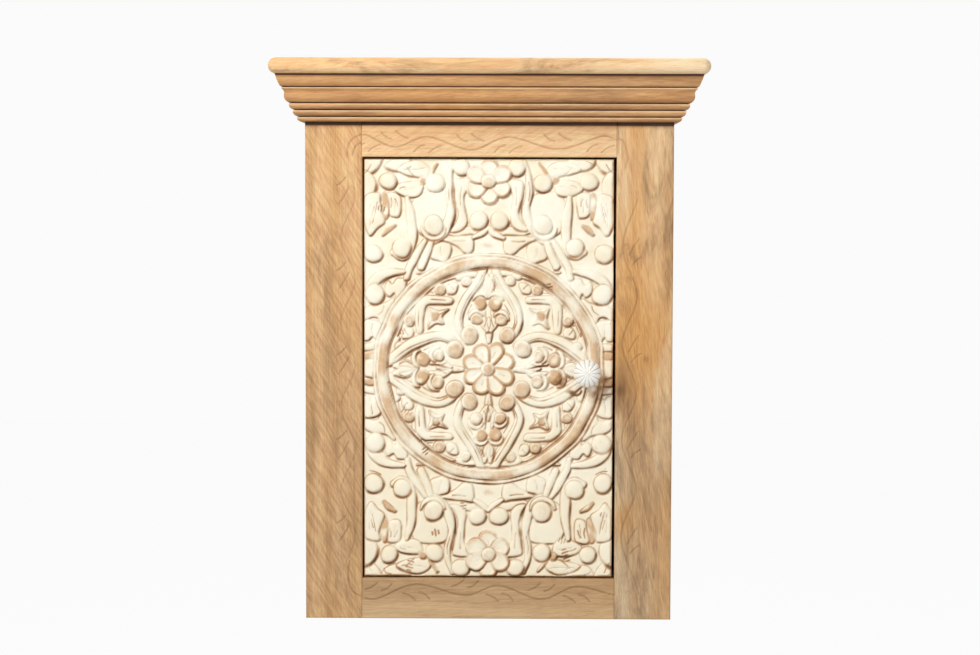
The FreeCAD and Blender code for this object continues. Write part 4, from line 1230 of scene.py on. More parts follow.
@dataclass
class CarvedDoor:
    """The whitewashed door, one board carved with a roundel and floral corners.

    Attributes:
        front: Depth of the carving's ground plane.
        cell: Size of the surface's cells.
        ground: Height of the ground between the forms.
        ring_in: Inner radius of the roundel's ring.
        ring_out: Outer radius of the ring.
        ring_top: Height of the ring.
        ring_foot: Height of the ring's edges.
        knob_x: The knob's axis to the right of the door's middle.
        knob_z: The knob's axis above the door's middle.
        seat_radius: Radius of the flat under the knob.
        seat_height: Height of that flat.
        hinge_x: The pivot axis to the right of the door's middle.
        hinge_back: Depth of the pivot axis behind the ground plane.
        swing: Largest radius that turns clear of the stile.
        fillet: Radius of the low fillet round the ring.
        floor: Radius of the roundel's ground.
        lines: Radii of the lines cut along the ring's inner and outer side.
        faint: Half width, depth and share of brown of a faint knife line.
        brink: Height of the carving at the door's edges.
        slope: Rise of the carving for each millimetre in from the edges.
        highest: Height that no carving passes.
        knob_stain_and_shadow: Spots by the knob that hands have worn brown, and the knob's painted shadow to
            its lower right: distance left of it, distance below it, radius and share.
        nicks: Rows of chisel nicks: middle across and up, direction in degrees and number.
        nick_gap: Distance between two nicks of a row.
        nick_half: Half length of a nick, and how much longer every second one is.
    """

    shop: Workshop
    front: float = -157.0
    cell: float = 1.15
    ground: float = 2.0
    ring_in: float = 112.0
    ring_out: float = 123.0
    ring_top: float = 6.2
    ring_foot: float = 2.4
    knob_x: float = 108.0
    knob_z: float = -3.0
    seat_radius: float = 9.2
    seat_height: float = 7.0
    hinge_x: float = -117.0
    hinge_back: float = 6.0
    swing: float = 21.7
    fillet: float = 127.5
    floor: float = 109.0
    lines: Point = (110.0, 124.4)
    faint: tuple[float, float, float] = (0.8, 0.6, 0.5)
    brink: float = 1.2
    slope: float = 1.9
    highest: float = 7.6
    knob_stain_and_shadow: tuple[tuple[float, float, float, float], ...] = (
        (29.0, 9.5, 6.5, 1.2), (16.0, 23.5, 6.5, 1.1), (-13.0, 21.0, 9.0, 1.0), (-18.0, 9.0, 6.0, 0.9))
    nicks: tuple[tuple[float, float, float, int], ...] = (
        (86.0, -204.0, 20.0, 5), (80.0, -190.0, 80.0, 3), (-90.0, -47.0, 60.0, 4), (93.0, 50.0, -40.0, 3),
        (-94.0, 42.0, -60.0, 3), (-60.0, -182.0, 100.0, 3), (-120.0, 176.0, 85.0, 3),
        (68.0, 92.0, 10.0, 3), (-70.0, -90.0, 30.0, 3), (126.0, -160.0, 75.0, 3),
        (-28.0, -150.0, 15.0, 3), (-86.0, -218.0, -15.0, 4))
    nick_gap: float = 3.2
    nick_half: Point = (2.4, 1.4)

    def build(self) -> None:
        """Build and dress the door."""
        low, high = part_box("door_panel")
        low.y = self.front * MM
        cell = self.cell * 1.0
        piece = relief_board("carved_door", low, high, cell * MM, self.carve)
        self.shop.hand_in(piece, Body.DOOR, "limed_wood", self.shop.limewash.make(self.shop.patterns),
                          "door_panel")

    def carve(self, across: np.ndarray, up: np.ndarray) -> CarvedFace:
        """Carve the door's face.

        Args:
            across: Distances to the right of the middle.
            up: Distances above the middle.

        Returns:
            The carved face.
        """
        face = CarvedFace(across, up, self.ground)
        self.field_leaves(face)
        self.field_stems(face)
        self.field_bosses(face)
        self.end_rosettes(face)
        self.clear_roundel(face)
        self.spandrels(face)
        self.ogee_petals(face)
        self.petal_fillings(face)
        self.ring(face)
        self.centre_rosette(face)
        self.knife_strokes(face)
        self.chisel_nicks(face)
        self.finish_edges(face)
        return face

    def field_leaves(self, face: CarvedFace) -> None:
        """Carve the leaves and lobes in the corners."""
        face.fold = Fold.QUARTERS
        face.height = face.height + face.wander(0.5, 13.0, 0.3)
        face.plate([(50, 192), (75, 193), (84, 180), (81, 165), (78, 150), (62, 143), (48, 150), (46, 165),
                    (45, 178)], top=3.6, soft=3.0)
        for x, z, radius in ((102, 233, 16), (137, 233, 20), (141, 202, 18)):
            face.boss(x, z, radius, top=4.8)
        face.plate([(98, 191), (111, 193), (112, 180), (109, 170), (104, 167), (98, 168), (96, 178)])
        face.plate([(113, 192), (118, 190), (118, 178), (114, 165), (110, 170)], top=3.0, soft=1.5, rub=0.8)
        face.plate([(121, 192), (136, 188), (137, 165), (134, 153), (129, 147), (122, 155), (114, 162),
                    (117, 172), (120, 182)], top=4.8)
        face.stroke([(123, 183), (125, 172), (128, 160)])
        face.stroke([(130, 182), (131, 168), (130, 157)], *self.faint)
        face.stroke([(102, 188), (103, 178), (102, 172)], *self.faint)
        face.pad([(103, 158, 1.5), (109, 154, 2.6), (115, 148, 1.5)], top=3.4, soft=1.2, rub=0.85)
        face.plate([(64, 213), (66, 222), (78, 228), (92, 225), (101, 218), (90, 213), (78, 211), (70, 208)],
                   top=4.4)
        face.stroke([(68, 221), (79, 219), (88, 219)], *self.faint)
        face.stroke([(81, 211), (87, 216), (91, 221)], half=1.0, depth=0.7, stain=0.8)
        face.plate([(72, 205), (84, 207), (98, 204), (104, 197), (93, 190), (80, 189), (73, 194)], top=4.6)
        face.stroke([(76, 200), (86, 199), (94, 197)], *self.faint)
        face.boss(72.5, 207.5, 4.0, top=4.0, rub=0.9)
        face.plate([(3, 160), (9, 155), (22, 157), (33, 153), (46, 150), (38, 146), (27, 147), (18, 148),
                    (11, 147), (5, 152)], top=4.2)
        face.plate([(17, 146), (27, 146), (40, 145), (52, 142), (44, 138), (35, 133), (28, 127), (22, 126),
                    (17, 131)], top=4.8)
        face.plate([(43, 136), (52, 139), (60, 140), (62, 131), (63, 123), (55, 119), (48, 117), (43, 125)],
                   top=4.6)
        face.stroke([(54, 135), (53, 128), (51, 122)], *self.faint)
        face.plate([(91, 98), (100, 99), (105, 93), (111, 96), (114, 86), (108, 80), (103, 84), (100, 77),
                    (95, 83), (91, 90)], top=4.4)
        face.plate([(103, 79), (114, 73), (128, 71), (137, 65), (136, 54), (128, 57), (122, 56), (118, 49),
                    (111, 56), (105, 67)], top=4.6)
        face.stroke([(114, 71), (116, 64), (122, 59)], half=0.9, depth=0.7, stain=0.7)
        face.plate([(119, 50), (128, 54), (137, 52), (137, 33), (131, 31), (127, 35), (122, 30), (119, 40)],
                   top=4.5)
        face.stroke([(128, 51), (128, 43), (127, 37)], half=0.8, depth=0.6, stain=0.6)
        face.plate([(121, 28), (130, 28), (137, 26), (137, 20), (126, 20), (121, 23)], top=4.3, soft=1.6)
        face.plate([(126, 18), (132, 19), (137, 17), (137, 11), (131, 10), (126, 12)],
                   top=3.6, soft=1.4, rub=0.7)
        face.plate([(124, 9), (131, 10), (137, 7), (137, -7), (131, -10), (124, -9)], top=4.2, soft=1.6)

    def field_stems(self, face: CarvedFace) -> None:
        """Carve the stems and scrolls in the corners."""
        face.fold = Fold.QUARTERS
        face.plate([(21, 208), (37, 206), (38, 195), (35, 180), (33, 170), (36, 160), (42, 151), (31, 152),
                    (24, 160), (26, 175), (27, 190), (22, 199)], top=4.5)
        face.plate([(39, 229), (43, 222), (47, 211), (48, 195), (45, 180), (47, 168), (50, 160), (54, 151),
                    (60, 146), (68, 142), (66, 136), (58, 138), (50, 143), (43, 151), (38, 164), (37, 174),
                    (40, 188), (41, 200), (40, 214), (36, 225)], top=5.0)
        face.pad([(56, 225, 1.2), (62, 217, 2.0), (68, 206, 1.2)], top=4.0, soft=1.2, rub=0.85)
        face.pad([(89, 188, 2.5), (86, 172, 4.5), (85, 152, 5), (85, 139, 5), (88, 129, 5), (96, 124, 4.5),
                  (105, 128, 3.5)], top=5.0)
        face.pad([(63, 142, 3), (67, 128, 4), (74, 113, 4)], top=4.8)
        face.pad([(70, 141, 2.5), (78, 127, 4), (87, 112, 4), (90, 100, 3)], top=4.8)
        face.pad([(71, 106, 1.2), (78, 106, 1.2)], top=3.2, soft=1.2, rub=0.8)
        face.pad([(94, 107, 2.5), (108, 105, 4.5), (119, 101, 5.5), (128, 93, 5), (133, 82, 4)], top=5.2)
        face.stroke([(104, 102), (112, 97), (118, 90)], half=0.9, depth=0.7, stain=0.7)
        face.pad([(0, 156, 2), (6, 150, 3), (16, 145, 2)], top=4.6, soft=1.4)
        face.arc(61, 158, radius=14.0, half=3.0, start=190, sweep=160, top=4.8)

    def field_bosses(self, face: CarvedFace) -> None:
        """Carve the round bosses outside the ring."""
        face.fold = Fold.QUARTERS
        for x, z, radius, rub in ((30, 221, 9.5, 0.0), (59, 204, 9.8, 0.0), (60, 158, 11.0, 0.3),
                                  (95, 133, 10.2, 0.0), (127, 127, 10.2, 0.0), (125, 82, 10.8, 0.0),
                                  (11.5, 163, 9.8, 0.0), (110, 206, 9.2, 0.0)):
            face.boss(x, z, radius, rub=rub)
        x, z = face.here()
        bare = 0.6 * np.exp(-(x / 9.0) ** 2 - ((z - 137.0) / 4.0) ** 2)
        face.rubbed = np.maximum(face.rubbed, bare)

    def end_rosettes(self, face: CarvedFace) -> None:
        """Carve the six-petalled flowers at the top and the bottom."""
        face.fold = Fold.QUARTERS
        self.rosette(face, 0.0, 206.0, petals=6, first=90.0, reach=16.0, petal=10.0, heart=7.6, worn=0.5)

    def rosette(self, face: CarvedFace, x: float, z: float, petals: int, first: float, reach: float,
                petal: float, heart: float, worn: float) -> None:
        """Carve a flower.

        Args:
            face: The face.
            x: Its middle across.
            z: Its middle up.
            petals: Number of petals.
            first: Angle of the first petal in degrees.
            reach: Distance of the petals' middles from the flower's middle.
            petal: Radius of a petal.
            heart: Radius of the boss in the middle.
            worn: Share of bare wood on the petals' rims.
        """
        for count in range(petals):
            angle = math.radians(first + 360.0 * count / petals)
            cx = x + reach * math.cos(angle)
            cz = z + reach * math.sin(angle)
            steps = ((0.25, 0.42), (0.62, 0.74), (1.0, 1.0))
            spine = [(x + share * (cx - x), z + share * (cz - z), half * petal) for share, half in steps]
            gap = face.line_distance(spine)[0]
            face.lay(gap, 4.4 + 1.0 * np.exp(-(((gap + 2.0) / 2.2) ** 2)), cut=1.3)
            rim = np.exp(-(((gap + 1.1) / 1.9) ** 2))
            face.rubbed = np.maximum(face.rubbed, np.where(gap < 0.0, worn * rim, 0.0))
            face.stroke([spine[1][:2], spine[2][:2]], half=0.8, depth=0.5, stain=0.7 * worn)
        face.boss(x, z, heart, top=6.6, rub=0.75 * worn)

    def clear_roundel(self, face: CarvedFace) -> None:
        """Clear a ground for the roundel, with a low fillet round it."""
        face.fold = Fold.ONCE
        reach = np.hypot(*face.here())
        face.lay(reach - self.fillet, rise=3.6, rub=0.25)
        face.lay(reach - self.floor, self.ground + 0.3 + face.wander(0.4, 9.0, 1.1), cut=0.4)

    def ring(self, face: CarvedFace) -> None:
        """Carve the roundel's ring over the petals' tips, with a line along each side."""
        face.fold = Fold.ONCE
        reach = np.hypot(*face.here())
        middle = 0.5 * (self.ring_in + self.ring_out)
        half = 0.5 * (self.ring_out - self.ring_in)
        crown = np.clip(1.0 - (np.abs(reach - middle) / (half * 1.08)) ** 2.6, 0.0, 1.0) ** 0.7
        patches = 0.44 + face.wander(0.34, 17.0, 2.6)
        face.lay(np.abs(reach - middle) - half, self.ring_foot + (self.ring_top - self.ring_foot) * crown)
        on_ring = np.clip(half - 0.4 - np.abs(reach - middle), 0.0, 1.0)
        face.rubbed = np.maximum(face.rubbed, on_ring * patches)
        inner, outer = self.lines
        face.score(reach - inner, depth=0.6, width=1.3, stain=1.0)
        face.score(reach - outer, depth=0.4, width=1.3, stain=0.6)

    def spandrels(self, face: CarvedFace) -> None:
        """Carve the corners between the petals and the ring."""
        face.fold = Fold.QUARTERS
        for turn in (1, -1):
            self.spandrel_half(face, turn)
        face.plate([(41, 79), (62, 80), (71, 79), (79, 71), (80, 62), (79, 41), (72, 42), (70, 58), (68, 69),
                    (58, 71), (42, 72)], top=4.8)
        face.plate([(45, 66), (55, 64), (66, 67), (64, 55), (66, 45), (57, 50), (49, 49), (51, 58)],
                   top=4.2, soft=1.4, rub=0.2)
        face.plate([(55, 61), (61, 61), (60, 54), (56, 55)], top=3.4, soft=1.2, rub=0.7)

    def spandrel_half(self, face: CarvedFace, turn: int) -> None:
        """Carve the leaves and berries on one side of a spandrel.

        Args:
            face: The face.
            turn: Plus one for the side by the upright petal, minus one for the other.
        """
        def spots(*points: tuple[float, ...]) -> list[tuple[float, ...]]:
            """Give points of the upright side, or the same over the diagonal."""
            return [point if turn > 0 else (point[1], point[0]) + point[2:] for point in points]

        face.plate(spots((12, 107), (24, 107), (37, 103), (33, 98), (22, 101), (14, 102)), top=4.2, soft=1.6)
        face.plate(spots((36, 101), (46, 97), (62, 88), (78, 74), (80, 84), (64, 95), (48, 102)),
                   top=4.0, soft=1.6)
        face.plate(spots((33, 94), (40, 95), (46, 90), (44, 83), (36, 84)), top=4.4, soft=1.6)
        face.boss(*spots((24, 97))[0], radius=5.4, top=5.0, rub=0.3)
        face.boss(*spots((53, 87))[0], radius=6.2, top=5.4, rub=0.45)
        face.stroke(spots((62, 91), (68, 87), (74, 81)), half=0.9, depth=0.6, stain=0.7)
        face.stroke(spots((37, 88), (41, 92), (44, 93)), half=0.9, depth=0.6, stain=0.7)

    def ogee_petals(self, face: CarvedFace) -> None:
        """Carve the four ogee petals' ribbons."""
        face.fold = Fold.PETALS
        line = [(32, 24), (38, 29.5), (46, 34.5), (56, 36.5), (66, 34), (76, 28), (86, 20.5), (96, 13.5),
                (106, 8.5), (115, 6)]
        face.pad([point + (4.8,) for point in line], top=5.4, soft=1.3)
        face.stroke([(40, 29), (56, 34.5), (72, 28.5), (90, 15.5), (104, 7.5)],
                    half=0.9, depth=0.5, stain=0.75)

    def petal_fillings(self, face: CarvedFace) -> None:
        """Carve the bosses and leaves within the petals."""
        face.fold = Fold.PETALS
        face.pad([(30, 0, 2.5), (42, 0, 4), (56, 0, 1.5)], top=4.8, soft=1.4, rub=0.2, vein=0.9)
        face.pad([(42, 2, 2), (53, 7, 4), (64, 5, 1.5)], top=4.4, soft=1.4, rub=0.0, vein=0.6)
        face.pad([(80, 0, 3), (90, 2, 5), (103, 3, 2)], top=4.4, soft=1.4, rub=0.0, vein=0.7)
        face.boss(37, 22, 9.2, top=6.0, rub=0.5)
        face.arc(55, 14.5, radius=8.8, half=2.4, start=-60, sweep=150, top=4.4)
        face.plate([(49, 13), (51, 20), (57, 21), (61, 15), (58, 9), (52, 8)], top=5.4, soft=1.6, rub=0.4)
        face.arc(73, 9, radius=9.4, half=2.4, start=-60, sweep=130, top=4.4)
        face.plate([(65, 8), (68, 14), (74, 16), (79, 11), (77, 4), (70, 2)], top=5.2, soft=1.4, rub=0.9)

    def centre_rosette(self, face: CarvedFace) -> None:
        """Carve the eight-petalled flower in the middle."""
        face.fold = Fold.ONCE
        self.rosette(face, 0.0, 0.0, petals=8, first=22.5, reach=20.5, petal=9.4, heart=7.6, worn=0.9)

    def knife_strokes(self, face: CarvedFace) -> None:
        """Cut short lines of the knife into the forms inside the ring and beside it."""
        face.fold = Fold.PETALS
        for points in (((84, 4), (91, 6), (98, 4)), ((60, 26), (66, 23), (72, 19)),
                       ((44, 29), (50, 31), (57, 32)), ((46, 6), (50, 4), (55, 3)),
                       ((83, 13), (88, 10), (93, 7))):
            face.stroke(points, half=0.9, depth=0.6, stain=0.8)
        face.fold = Fold.QUARTERS
        for points in (((46, 65), (52, 61), (56, 59)), ((65, 66), (62, 62), (60, 59)),
                       ((50, 50), (53, 53), (56, 55)), ((65, 46), (63, 51), (60, 54)),
                       ((60, 83), (66, 83), (72, 80)), ((84, 60), (84, 66), (81, 71)),
                       ((46, 76), (56, 76), (64, 76)), ((76, 46), (76, 56), (76, 64)),
                       ((118, 118), (124, 115), (131, 114)), ((100, 178), (101, 183), (104, 187)),
                       ((108, 176), (107, 182), (108, 188)), ((126, 178), (128, 171), (129, 166)),
                       ((86, 222), (91, 219), (95, 219)), ((90, 201), (95, 200), (98, 198)),
                       ((106, 228), (112, 226), (115, 221)), ((128, 226), (132, 219), (136, 215)),
                       ((30, 200), (31, 190), (31, 180)), ((44, 206), (45, 196), (43, 184)),
                       ((24, 141), (32, 140), (40, 140))):
            face.stroke(points, half=0.9, depth=0.6, stain=0.75)
        face.stroke([(39, 203), (38, 190), (36.5, 178), (36.5, 166), (40, 155)],
                    half=1.5, depth=0.8, stain=0.95)

    def chisel_nicks(self, face: CarvedFace) -> None:
        """Cut the rows of short nicks that the chisel left here and there."""
        face.fold = Fold.ONCE
        half, longer = self.nick_half
        for x, z, turn, count in self.nicks:
            along = Vector((math.cos(math.radians(turn)), math.sin(math.radians(turn))))
            for step in range(count):
                middle = Vector((x, z)) + along.orthogonal() * self.nick_gap * (step - 0.5 * count)
                reach = along * (half + longer * (step % 2))
                face.stroke([(middle - reach)[:], middle[:], (middle + reach)[:]],
                            half=1.0, depth=0.5, stain=0.95)

    def finish_edges(self, face: CarvedFace) -> None:
        """Level the knob's seat, ease the edges and keep the hinge side clear."""
        face.fold = Fold.ONCE
        face.height = face.height + face.wander(0.16, 5.0, 0.9)
        x, z = face.across, face.up
        seat = np.clip(1.5 - (np.hypot(x - self.knob_x, z - self.knob_z) - self.seat_radius), 0.0, 1.0)
        face.height = (1.0 - seat) * face.height + seat * self.seat_height
        inset = np.minimum(x.max() - np.abs(x), z.max() - np.abs(z))
        face.height = np.minimum(face.height, self.brink + self.slope * np.maximum(inset, 0.0))
        arm = np.abs(x - self.hinge_x)
        clear = np.sqrt(np.maximum(self.swing ** 2 - np.minimum(arm, self.swing) ** 2, 0.0)) - self.hinge_back
        face.height = np.where(x < self.hinge_x, np.minimum(face.height, clear), face.height)
        face.height = np.clip(face.height, 0.0, self.highest)
        face.weather_and_shade(float(x[1] - x[0]))
        # Brown spots by the knob: hand wear, and the knob's painted shadow to its lower right.
        for left, below, radius, share in self.knob_stain_and_shadow:
            reach = np.hypot(x - self.knob_x + left, z - self.knob_z + below) / radius
            spot = np.maximum(reach + face.wander(0.5, 4.0, 0.6), 0.0)
            face.groove = np.maximum(face.groove, share * np.exp(-spot ** 2))


@dataclass(frozen=True)
class Sapwood:
    """The pale strip down a stile's outer side. Its places are in the frame.

    Attributes:
        edge: Its inner edge across.
        top: Height where it begins.
        foot: Height where it ends.
        dent: How far its inner edge is pushed out near its top.
        dent_rise: Height of the dent's middle above the top.
        dent_reach: Height over which the dent fades.
        top_fade: Height over which it begins.
        foot_fade: Height over which it ends.
        edge_fade: Width over which its inner edge fades.
        share: Its strength.
    """

    edge: float = 180.0
    top: float = -218.0
    foot: float = -400.0
    dent: float = 21.0
    dent_rise: float = 6.0
    dent_reach: float = 45.0
    top_fade: float = 14.0
    foot_fade: float = 22.0
    edge_fade: float = 4.0
    share: float = 0.7

    def spread(self, face: CarvedFace, middle: Vector) -> np.ndarray:
        """Find where the sapwood lies.

        Args:
            face: The board's face.
            middle: The board's middle in the frame, in millimetres.

        Returns:
            One within the sapwood and nought outside it.
        """
        x, z = face.across + middle.x, face.up + middle.z
        dent = self.dent * np.exp(-((z - self.top - self.dent_rise) / self.dent_reach) ** 2)
        line = self.edge + dent + face.wander(1.5, 16.0, 1.3)
        begun = np.clip((self.top - z) / self.top_fade, 0.0, 1.0)
        left = np.clip((z - self.foot) / self.foot_fade, 0.0, 1.0)
        return np.clip((x - line) / self.edge_fade, 0.0, 1.0) * (begun * left)


@dataclass
class FaceFrame:
    """The stiles and rails, with a vine cut along them.

    Attributes:
        cell: Size of the surface's cells.
        depth: Depth of the cut line.
        width: Half width of the cut line.
        ease: How far the boards' front edges are rubbed off.
        near: Distance of the stiles' vine from the door at its inner bends.
        far: The same at its outer bends.
        soffit: Height of the moulding's underside, below which a band of painted shadow darkens the boards.
        band: Height of that band of painted shadow.
        strokes: Leaf strokes in a rail's bend, as distances along the growth and into the hollow.
        sprigs: The same for a stile's inner bend.
        left_curls: Lines that carry the rails' vines onto the left stile.
        right_curls: The same on the right stile.
        left_bends: Height of the left vine's first outer bend, and the height between two bends.
        right_bends: The same for the right vine.
        vine_foot: Height where the stiles' vines end.
        hearts: Amber patches of the right stile: place across and up, half width, half height and share.
        stains_and_shadow: Its dark patches in the same way: by the knob, partly hand wear and partly the
            knob's painted shadow; round a knot; and near the top.
        sapwood: Its pale sapwood.
    """

    shop: Workshop
    cell: float = 1.0
    depth: float = 0.8
    width: float = 0.8
    ease: float = 0.7
    near: float = 7.0
    far: float = 23.0
    soffit: float = -4.5
    band: float = 5.6
    strokes: tuple[tuple[Point, ...], ...] = (((-16.0, 17.0), (-10.0, 11.0), (-3.0, 8.6)),
                                              ((0.0, 18.0), (7.0, 12.5), (15.0, 9.5)))
    sprigs: tuple[tuple[Point, ...], ...] = (((-20.0, 10.0), (-14.0, 15.0), (-10.0, 21.0)),
                                             ((-9.0, 7.0), (0.0, 11.5), (10.0, 18.0)))
    left_curls: tuple[tuple[Point, ...], ...] = (
        ((-155.5, -43.0), (-154.4, -31.5), (-149.1, -23.2), (-OPENING, -18.0)),
        ((-150.1, -42.0), (-146.6, -32.0), (-OPENING, -26.8)),
        ((-153.7, -488.0), (-154.7, -508.0), (-150.0, -521.8), (-OPENING, -528.0)))
    right_curls: tuple[tuple[Point, ...], ...] = (
        ((OPENING, -22.0), (147.0, -26.0), (151.0, -40.0), (149.0, -56.0)),)
    left_bends: Point = (-38.0, 46.5)
    right_bends: Point = (-88.0, 53.0)
    vine_foot: float = -548.0
    hearts: tuple[tuple[float, float, float, float, float], ...] = (
        (164.0, -245.0, 28.0, 58.0, 0.95), (150.0, -443.0, 14.0, 26.0, 0.8))
    stains_and_shadow: tuple[tuple[float, float, float, float, float], ...] = (
        (144.0, -298.0, 9.0, 24.0, 1.15), (172.4, -263.0, 3.2, 3.6, 0.6), (182.0, -137.0, 16.0, 10.0, 0.45))
    sapwood: Sapwood = Sapwood()

    def build(self) -> None:
        """Build and dress the four boards."""
        shop = self.shop
        self.board("left_stile", "left_frame_stile", Grain.ALONG_Z, shop.honey, self.left_vine)
        self.board("right_stile", "right_frame_stile", Grain.ALONG_Z, shop.figured, self.right_vine)
        self.board("top_rail", "top_frame_rail", Grain.ALONG_X, shop.pale, self.top_vine)
        self.board("bottom_rail", "bottom_frame_rail", Grain.ALONG_X, shop.drift, self.bottom_vine)

    def board(self, node: str, name: str, grain: Grain, finish: WoodFinish,
              vine: Callable[[CarvedFace, Vector], None]) -> None:
        """Build one board.

        Args:
            node: CAD node that it replaces.
            name: The piece's name.
            grain: Direction of its fibres.
            finish: Tint of its wood.
            vine: Cuts the vine into its face.
        """
        low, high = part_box(node)
        if grain is Grain.ALONG_X:
            low.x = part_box("left_stile")[1].x
            high.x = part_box("right_stile")[0].x
        middle = (low + high) / 2 / MM

        def carve(across: np.ndarray, up: np.ndarray) -> CarvedFace:
            """Cut the vine and rub the edges off.

            Args:
                across: Distances to the right of the board's middle.
                up: Distances above it.

            Returns:
                The carved face.
            """
            face = CarvedFace(across, up, 0.0, Fold.PLAIN)
            vine(face, middle)
            inset = np.minimum(across.max() - np.abs(across), up.max() - np.abs(up))
            rub = np.clip(1.0 - inset / self.cell, 0.0, 1.0)
            face.height = face.height - self.ease * rub
            # Painted shadow under the moulding along the top of the boards.
            under = self.soffit - up - middle.z
            painted_shade = np.clip(1.6 - under / self.band, 0.0, 1.0)
            face.groove = np.maximum(face.groove, 1.5 * painted_shade * painted_shade)
            return face

        cell = self.cell * 1.0
        piece = relief_board(name, low, high, cell * MM, carve)
        self.shop.hand_in(piece, Body.CASE, "case_wood", self.shop.wood(finish, node, grain), node)

    def cut(self, face: CarvedFace, middle: Vector, points: Sequence[Point], faint: float) -> None:
        """Cut one smooth line.

        Args:
            face: The board's face.
            middle: The board's middle in the frame, in millimetres.
            points: The line's points, across and up in the frame.
            faint: Share of the full depth.
        """
        local = [(x - middle.x, z - middle.z) for x, z in points]
        gap, share = face.line_distance(local)
        ends = np.clip(12.0 * np.minimum(share, 1.0 - share) + 0.35, 0.0, 1.0)
        face.score(gap / ends, self.depth * faint, self.width, faint)

    def vine(self, face: CarvedFace, middle: Vector, turns: Sequence[Point], way: Point, faint: float,
             strokes: Sequence[Sequence[Point]], every: int = 1, leaf: float = 0.9) -> None:
        """Cut a vine through its turns, with leaf strokes in the hollows of its bends.

        Args:
            face: The board's face.
            middle: The board's middle in the frame, in millimetres.
            turns: The vine's crests and troughs in the frame.
            way: Direction of growth along the board.
            faint: Share of the full depth.
            strokes: The leaf strokes of one bend.
            every: Which bends bear strokes, counted from the second turn.
            leaf: Depth of the strokes, as a share of the vine's.
        """
        self.cut(face, middle, turns, faint)
        along = Vector(way)
        for before, bend, after in list(zip(turns, turns[1:], turns[2:]))[::every]:
            hollow = (Vector(before) + Vector(after)) / 2 - Vector(bend)
            out = (hollow - along * hollow.dot(along)).normalized()
            for stroke in strokes:
                points = [Vector(bend) + along * run + out * rise for run, rise in stroke]
                self.cut(face, middle, [point[:] for point in points], faint * leaf)

    def top_vine(self, face: CarvedFace, middle: Vector) -> None:
        """Cut the top rail's vine."""
        turns = [(-OPENING, -20), (-133, -19.5), (-103, -32), (-67, -21), (-20, -35), (21, -21), (75, -34),
                 (122, -20), (OPENING, -24)]
        self.vine(face, middle, turns, (1.0, 0.0), 1.0, self.strokes)

    def bottom_vine(self, face: CarvedFace, middle: Vector) -> None:
        """Cut the bottom rail's vine."""
        turns = [(-OPENING, -529), (-122, -530), (-80, -514), (-26, -526), (12, -515), (58, -530), (97, -516),
                 (OPENING, -525)]
        self.vine(face, middle, turns, (-1.0, 0.0), 1.0, self.strokes)

    def stile_turns(self, edge: float, way: float, first: float, half_wave: float) -> list[Point]:
        """Lay out a stile's vine.

        Args:
            edge: The stile's inner edge.
            way: Direction from the door into the stile.
            first: Height of the uppermost outer bend.
            half_wave: Distance between an outer bend and the next inner one.

        Returns:
            The vine's bends, the outer ones first.
        """
        heights = np.arange(first, self.vine_foot, -half_wave)
        return [(edge + way * (self.far, self.near)[count % 2], float(z)) for count, z in enumerate(heights)]

    def left_vine(self, face: CarvedFace, middle: Vector) -> None:
        """Cut the left stile's vine."""
        turns = self.stile_turns(-OPENING, -1.0, *self.left_bends)
        self.vine(face, middle, turns, (0.0, -1.0), 0.5, self.sprigs, every=2, leaf=1.5)
        for curl in self.left_curls:
            self.cut(face, middle, curl, 0.8)

    def right_vine(self, face: CarvedFace, middle: Vector) -> None:
        """Cut the right stile's vine, and tint its heart, its sapwood and its dark patches, one by the knob
        that is partly hand wear and partly the knob's painted shadow.
        """
        turns = self.stile_turns(OPENING, 1.0, *self.right_bends)
        self.vine(face, middle, turns, (0.0, 1.0), 0.7, self.sprigs, every=2)
        for curl in self.right_curls:
            self.cut(face, middle, curl, 0.7)
        sap = self.sapwood.spread(face, middle)
        face.rubbed = np.maximum(face.rubbed, self.sapwood.share * sap)
        for patch in self.hearts:
            face.heart = np.maximum(face.heart, self.patch(face, middle, *patch) * (1.0 - sap))
        # Dark patches; the one by the knob is partly the knob's painted shadow.
        for patch in self.stains_and_shadow:
            face.groove = np.maximum(face.groove, self.patch(face, middle, *patch))

    @staticmethod
    def patch(face: CarvedFace, middle: Vector, x: float, z: float, wide: float, high: float,
              share: float) -> np.ndarray:
        """Spread an uneven oval patch.

        Args:
            face: The board's face.
            middle: The board's middle in the frame, in millimetres.
            x: The patch's middle across.
            z: The patch's middle up.
            wide: Its half width.
            high: Its half height.
            share: Its strength in the middle.

        Returns:
            The strength at each point.
        """
        reach = np.hypot((face.across + middle.x - x) / wide, (face.up + middle.z - z) / high)
        return share * np.exp(-np.maximum(reach + face.wander(0.2, 12.0, 0.7), 0.0) ** 2)


